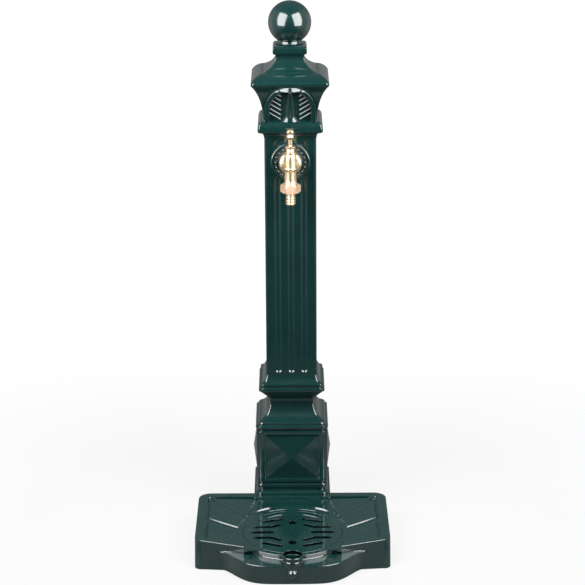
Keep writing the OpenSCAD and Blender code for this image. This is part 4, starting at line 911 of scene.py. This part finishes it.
def buildGrate():
    # The cast grate keeps its outline; its openings widen downwards and its edges are eased.
    d = Values(**grateShape)
    source = nodes["grate"].data
    shape = bmesh.new()
    shape.from_mesh(source)
    bmesh.ops.remove_doubles(shape, verts=shape.verts, dist=1e-6)
    bmesh.ops.dissolve_limit(shape, angle_limit=math.radians(1), verts=shape.verts, edges=shape.edges)
    mesh = bpy.data.meshes.new("trayGrate")
    shape.to_mesh(mesh)
    shape.free()
    places = np.zeros(3 * len(mesh.vertices))
    normals = np.zeros(3 * len(mesh.polygons))
    sizes = np.zeros(len(mesh.polygons), int)
    corners = np.zeros(len(mesh.loops), int)
    mesh.vertices.foreach_get("co", places)
    mesh.polygons.foreach_get("normal", normals)
    mesh.polygons.foreach_get("loop_total", sizes)
    mesh.loops.foreach_get("vertex_index", corners)
    places, normals = places.reshape(-1, 3), normals.reshape(-1, 3)
    upright = np.repeat(np.where(np.abs(normals[:, 2:]) < 0.1, normals, 0), sizes, 0)
    inward = np.zeros_like(places)
    np.add.at(inward, corners, upright)
    inward = inward / np.maximum(np.linalg.norm(inward, axis=1), 1e-9)[:, None]
    middle = (grateLow + grateHigh) / 2000
    out = np.hypot(*(places - middle)[:, :2].T) * 1000
    opening = out < (grateHigh[0] - grateLow[0]) / 2 - d.border
    slot = opening & (np.abs(places[:, 0] - middle[0]) * 1000 > d.holeHalf)
    back = d.widening * slot + d.undercut * (opening & (places[:, 2] < middle[2]))
    places = places - inward * back[:, None] * 0.001
    mesh.vertices.foreach_set("co", places.ravel())
    mesh.update()
    mesh.materials.clear()
    mesh.materials.append(paint)
    mesh.polygons.foreach_set("use_smooth", np.abs(normals[:, 2]) < 0.9)
    made = placed("trayGrate", mesh)
    eased = made.modifiers.new("easedEdges", "BEVEL")
    eased.width = d.easing * 0.001
    eased.segments = 3
    eased.limit_method = "ANGLE"
    eased.angle_limit = math.radians(40)
    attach(made, "grate")
    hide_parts("grate")


# Tap

tapShape = {
    "noseDown": 34.5, "noseRadius": 13.15, "nose": 7.5, "spoutRadius": 10.3, "ledgeRadius": 11.8,
    "chamberRadius": 11.2, "chamberUp": 26.0, "chamberTop": 9.4, "flangeRadius": 20.0, "flange": 7.0,
    "shoulderRadius": 12.5, "shoulder": 4.0, "neckRadius": 9.0, "washer": 1.5, "washerRadius": 9.75,
    "rosette": 8.0, "rosetteRadius": 34.5, "rosetteRim": 5.0, "rosetteBoss": 21.0, "rosetteField": 4.0,
    "beads": 18, "beadSize": (2.9, 2.9, 2.6), "leafSize": (3.4, 0.9, 1.7), "bonnetFlange": 10.0,
    "bonnetRadius": 7.3, "bonnet": 7.0, "gland": 5.0, "glandFlats": 14.2, "unionFlats": 30.4, "barUp": 59.0,
    "barHalf": 21.0, "barRadius": 4.2, "barEnd": 6.2, "tailRadius": 8.75, "tailBore": 5.8, "barb": 1.0,
    "barbs": 3, "barbPitch": 4.5,
}


def buildTap():
    d = Values(**tapShape)
    axis = (0, tapY, tapZ)
    face = (0, -columnHalf, tapZ)
    reach = -columnHalf - tapY
    top = d.chamberUp
    nose = -d.noseDown + d.nose
    body = [(0, -d.noseDown), (d.noseRadius, -d.noseDown), (d.noseRadius, nose)] \
        + arcOut((d.noseRadius - 0.5, nose + 0.5), (d.spoutRadius, nose + 7)) \
        + [(d.spoutRadius - 0.3, -4), (d.ledgeRadius, -1.5), (d.ledgeRadius, 0.8),
           (d.chamberRadius, 2), (d.chamberRadius, top - 8)] \
        + arcUp((d.chamberRadius, top - 8), (d.chamberTop, top), 70) + [(0, top)]
    flangeAt = d.rosette + d.washer
    shoulderAt = flangeAt + d.flange
    neckAt = shoulderAt + d.shoulder
    inlet = [(0, shoulderAt), (d.shoulderRadius, shoulderAt), (d.shoulderRadius, neckAt - 0.6)] \
        + arcOut((d.shoulderRadius - 0.8, neckAt), (d.neckRadius, neckAt + 4)) \
        + [(d.neckRadius, reach - 10), (d.neckRadius + 0.6, reach - 4), (0, reach - 4)]
    parts = [turned(softened(body, 0.8, 3), axis), turned(softened(inlet, 0.8, 3), face, forward=True)]
    makePiece("tapBody", parts, ["tap_body"], "brass")
    flange = [(0, flangeAt), (d.flangeRadius - 0.4, flangeAt)] \
        + arcUp((d.flangeRadius, flangeAt + 1.5), (d.shoulderRadius + 0.5, shoulderAt), 80, 16) \
        + [(0, shoulderAt)]
    flange = turned(softened(flange, 0.5, 3), face, forward=True)
    makePiece("tapFlange", [flange], ["inlet_flange"], "brass")

    bonnetAt = top + d.washer
    gland = bonnetAt + d.bonnet
    wide, narrow, ring = d.bonnetFlange + 0.3, d.bonnetRadius, d.washerRadius
    bonnet = [(0, bonnetAt - 4), (narrow, bonnetAt - 4), (narrow, bonnetAt), (ring, bonnetAt),
              (ring, top + 0.1), (wide, top + 0.1), (wide, bonnetAt + 2), (narrow + 0.3, bonnetAt + 2.6),
              (narrow, gland), (0, gland)]
    makePiece("tapBonnet", [turned(softened(bonnet, 0.5, 3), axis)], ["bonnet"], "brass")
    corner, end = d.glandFlats / 2 / math.cos(math.pi / 6), gland + d.gland
    nut = [(3.3, gland), (corner - 1.2, gland), (corner + 0.2, gland + 1), (corner + 0.2, end - 1),
           (corner - 1.4, end), (3.35, end), (3.3, gland)]
    nut = hexed(filled(nut, 0.5), d.glandFlats, axis, soft=0.3)
    makePiece("glandNut", [nut], ["gland_nut"], "brass")

    # Crutch handle: a turned boss below a bar with round ends.
    up = d.barUp
    boss = [(3.35, up - 18.5), (3.9, up - 18.5), (3.6, up - 12)] \
        + arcUp((3.7, up - 11), (5.2, up - 4.4), 60) \
        + [(4.4, up), (0, up + 1), (0, up - 4), (3.35, up - 4)]
    t = np.linspace(-np.pi / 2, np.pi / 2, 40)
    centre = d.barHalf - d.barEnd
    ends = np.stack([d.barEnd * np.cos(t), centre + d.barEnd * np.sin(t)], 1)
    root = -math.acos((d.barRadius - 0.5) / d.barEnd)
    ends = ends[t > root]
    shank = arcUp((d.barRadius, 0.5), (d.barRadius - 0.5, ends[0, 1] - 0.4))
    halfBar = np.vstack([shank, ends])
    halfBar[-1, 0] = 0
    bar = np.vstack([halfBar[::-1] * [1, -1], halfBar])
    parts = [turned(softened(boss, 0.4, 2), axis), turned(bar, (0, tapY, tapZ + up), 64, forward=True)]
    makePiece("crutchHandle", parts, ["handle"], "brass", "handle")
    top = up + d.barRadius
    screw = [(0, top - 6), (1.6, top - 6), (1.6, top - 2), (3.0, top - 2), (3.0, top - 0.2),
             (2.5, top + 0.15), (0, top + 0.3)]
    screw = turned(softened(screw, 0.25, 3), axis, 48)
    makePiece("handleScrew", [screw], ["handle_screw"], "brass", "handle")

    # Hose union: a six-sided nut and a ribbed tail.
    low, high = nutLow[2] - tapZ, nutHigh[2] - tapZ
    corner = d.unionFlats / 2 / math.cos(math.pi / 6)
    nut = [(9.4, low), (corner - 2.0, low), (corner + 0.2, low + 1.1), (corner + 0.2, high - 1.1),
           (corner - 2.0, high), (13.25, high), (13.2, low + 2.6), (9.4, low + 2.6), (9.35, low)]
    nut = hexed(filled(nut, 0.8), d.unionFlats, axis, soft=0.5)
    makePiece("unionNut", [nut], ["union_nut"], "brass", "union", mattBrass)
    tailLow = boxMm("hose_tail")[0][2] - tapZ
    bore, crest, root = d.tailBore, d.tailRadius, d.tailRadius - d.barb
    tail = [(bore, tailLow + 0.2), (root - 0.8, tailLow)]
    for k in range(d.barbs):
        base = tailLow + d.barbPitch * k
        tail += [(root - 0.5, base + 0.2), (crest, base + 2.7), (crest, base + 3.9), (root, base + 4.3)]
    tail += [(root, low + 2.9), (12.4, low + 2.95), (12.4, low + 5.2), (bore, low + 5.2),
             (bore, tailLow + 0.2)]
    makePiece("hoseTail", [turned(softened(tail, 0.3, 3), axis)], ["hose_tail"], "brass")

    # Rosette: a turned plate with a rolled rim and a ring of beads and small leaves.
    r, boss, rim = d.rosetteRadius, d.rosetteBoss, d.rosetteRim
    thick, field = d.rosette, d.rosette - d.rosetteField
    plate = [(0, 0), (r, 0), (r, thick - 3.6), (r - 1.0, thick - 1.9), (r - rim + 0.9, thick - 1.2),
             (r - rim, field), (boss + 1, field), (boss, thick), (0, thick)]
    grids = [turned(filled(softened(plate, 0.5, 3), 1.5), face, 128, forward=True)]
    t = np.linspace(-np.pi / 2, np.pi / 2, 9)
    a = np.linspace(0, 2 * np.pi, 16, endpoint=False)
    ringAt = (boss + r - rim) / 2
    for k in range(2 * d.beads):
        angle = math.pi * k / d.beads
        long, wide, tall = d.leafSize if k % 2 else d.beadSize
        out = long * np.cos(t)[:, None] * np.cos(a)
        side = wide * np.cos(t)[:, None] * np.sin(a)
        up = tall * np.sin(t)[:, None] + 0 * a
        x = (ringAt + out) * math.cos(angle) - side * math.sin(angle)
        z = (ringAt + out) * math.sin(angle) + side * math.cos(angle)
        grids.append((np.stack([x, -field - up, z], -1) + np.array(face), False, True))
    makePiece("tapRosette", grids, ["rosette"])


stages = (("finial", buildFinial), ("capital", buildCapital), ("column", buildColumn),
          ("pedestal", buildPedestal), ("tray", buildTray), ("grate", buildGrate), ("tap", buildTap))
for stage, build in stages:
    build()
    print(stage, "made")


# Studio

studio = {
    "focalPixels": 1986.0, "imagePixels": 585.0, "pitch": 18.0, "roll": -0.33, "distance": 3.382,
    "height": 1.515, "shiftPixels": 1.35, "aimUp": 0.55, "boxAngle": 46.0, "boxAway": 1.9, "boxWidth": 1.7,
    "boxHeight": 2.4, "boxUp": 1.5, "boxShine": 116.0, "lampAway": 1.15, "lampWidth": 0.8, "lampHeight": 1.0,
    "lampUp": 1.45, "lampPower": 19.5, "rearPower": 20.0, "topLight": 1.1, "topSpread": 50.0,
    "airLight": 0.10, "frontShine": 0.02, "backShine": 0.14, "wallShine": 0.50, "sweepShine": 0.10,
    "floorHalf": 7.0, "paperPale": 0.12, "paperNear": 0.25, "paperFar": 0.02, "glowNear": 0.79,
    "glowFar": 1.0,
}


def surround(make, way):
    # What gloss sees of the studio along a direction: dim in front, paler behind and at the sides,
    # palest where the paper sweep meets the level behind.
    d = Values(**studio)
    way = make.node("ShaderNodeVectorMath", {"operation": "NORMALIZE"}, {0: way})
    x, y, z = [make.axis(way, k) for k in (0, 1, 2)]
    back = make.ramp(y, -0.3, 0.3, d.frontShine, d.backShine)
    walls = make.ramp(x * x, 0.25, 0.8)
    behind = make.ramp(y, 0.1, 0.5)
    level = make.ramp(z * z, 0.06, 0.01)
    return back + walls * (d.wallShine - d.backShine) + behind * level * d.sweepShine


def buildStudio():
    d = Values(**studio)
    view = bpy.data.cameras.new("photoCamera")
    view.sensor_width = 36.0
    view.lens = view.sensor_width * d.focalPixels / d.imagePixels
    view.shift_x = d.shiftPixels / d.imagePixels
    view.clip_end = 100
    camera = placed("photoCamera", view)
    camera.location = (0, postY * 0.001 - d.distance, d.height)
    camera.rotation_mode = "XYZ"
    camera.rotation_euler = (math.radians(90 - d.pitch), 0, 0)
    camera.rotation_euler.rotate_axis("Z", math.radians(d.roll))
    bpy.context.scene.camera = camera

    target = np.array([0, postY * 0.001, d.aimUp])

    def softbox(name, angle, away, up, width, height, power):
        light = bpy.data.lights.new(name, "AREA")
        light.shape = "RECTANGLE"
        light.size, light.size_y = width, height
        light.energy = power
        lamp = placed(name, light)
        spot = np.array([away * math.sin(angle), postY * 0.001 - away * math.cos(angle), up])
        lamp.location = spot
        back = spot - target
        tilt = math.atan2(math.hypot(back[0], back[1]), back[2])
        lamp.rotation_euler = (tilt, 0, math.atan2(back[1], back[0]) + math.pi / 2)
        return lamp

    # Each softbox is a pair: one lamp for the colour of a surface and one for its shine.
    for name, sign in (("softboxLeft", -1), ("softboxRight", 1)):
        angle = sign * math.radians(d.boxAngle)
        softbox(name, angle, d.lampAway, d.lampUp, d.lampWidth, d.lampHeight,
                d.lampPower).visible_glossy = False
        softbox(name + "Shine", angle, d.boxAway, d.boxUp, d.boxWidth, d.boxHeight,
                d.boxShine).visible_diffuse = False
    softbox("rearLight", math.pi, d.boxAway, d.boxUp, d.lampWidth, d.lampHeight,
            d.rearPower).visible_glossy = False
    above = bpy.data.lights.new("topLight", "SUN")
    above.energy = d.topLight
    above.angle = math.radians(d.topSpread)
    placed("topLight", above).visible_glossy = False
    size = d.floorHalf
    corners = [(-size, -size, 0), (size, -size, 0), (size, size, 0), (-size, size, 0)]
    sheet = bpy.data.meshes.new("studioFloor")
    sheet.from_pydata(corners, [], [(0, 1, 2, 3)])
    make = Finish("studioPaper")
    seen = make.node("ShaderNodeLightPath", output=0)
    place = make.node("ShaderNodeTexCoord", output=3)
    grain = make.noise(place, 30.0, 3.0)
    away = make.node("ShaderNodeVectorMath", {"operation": "LENGTH"}, {0: place}, 1)
    reach = make.ramp(away, 0.5, 2.0)
    short = make.ramp(away, 0.25, 0.8)
    near, far, pale = [(k, k, k, 1) for k in (d.paperNear, d.paperFar, d.paperPale)]
    tone = make.mixed(seen * (grain * 0.04 + 0.98), make.mixed(short, near, far), pale)
    matt = make.node("ShaderNodeBsdfDiffuse", None, {"Color": tone})
    bright = reach * (d.glowFar - d.glowNear) + d.glowNear
    shine = make.node("ShaderNodeLightPath", output=3) * reach * surround(make, place)
    glow = make.node("ShaderNodeEmission", None, {"Color": (1, 1, 1, 1), "Strength": seen * bright + shine})
    both = make.node("ShaderNodeAddShader", None, {0: matt, 1: glow})
    sheet.materials.append(make.surface(both))
    floor = placed("studioFloor", sheet)

    world = bpy.data.worlds.new("studioAir")
    bpy.context.scene.world = world
    make = Finish("studioAir", world)
    path = make.node("ShaderNodeLightPath", output=0)
    shine = make.node("ShaderNodeLightPath", output=3)
    glass = make.node("ShaderNodeLightPath", output=6)
    shown = surround(make, make.node("ShaderNodeTexCoord")) - d.airLight
    level = path + (shine + glass) * shown + (1 - path) * d.airLight
    air = make.node("ShaderNodeBackground", None, {"Color": (1, 1, 1, 1), "Strength": level})
    make.node("ShaderNodeOutputWorld", None, {"Surface": air})
    bpy.context.scene.view_settings.view_transform = "Standard"


buildStudio()
print("studio made")
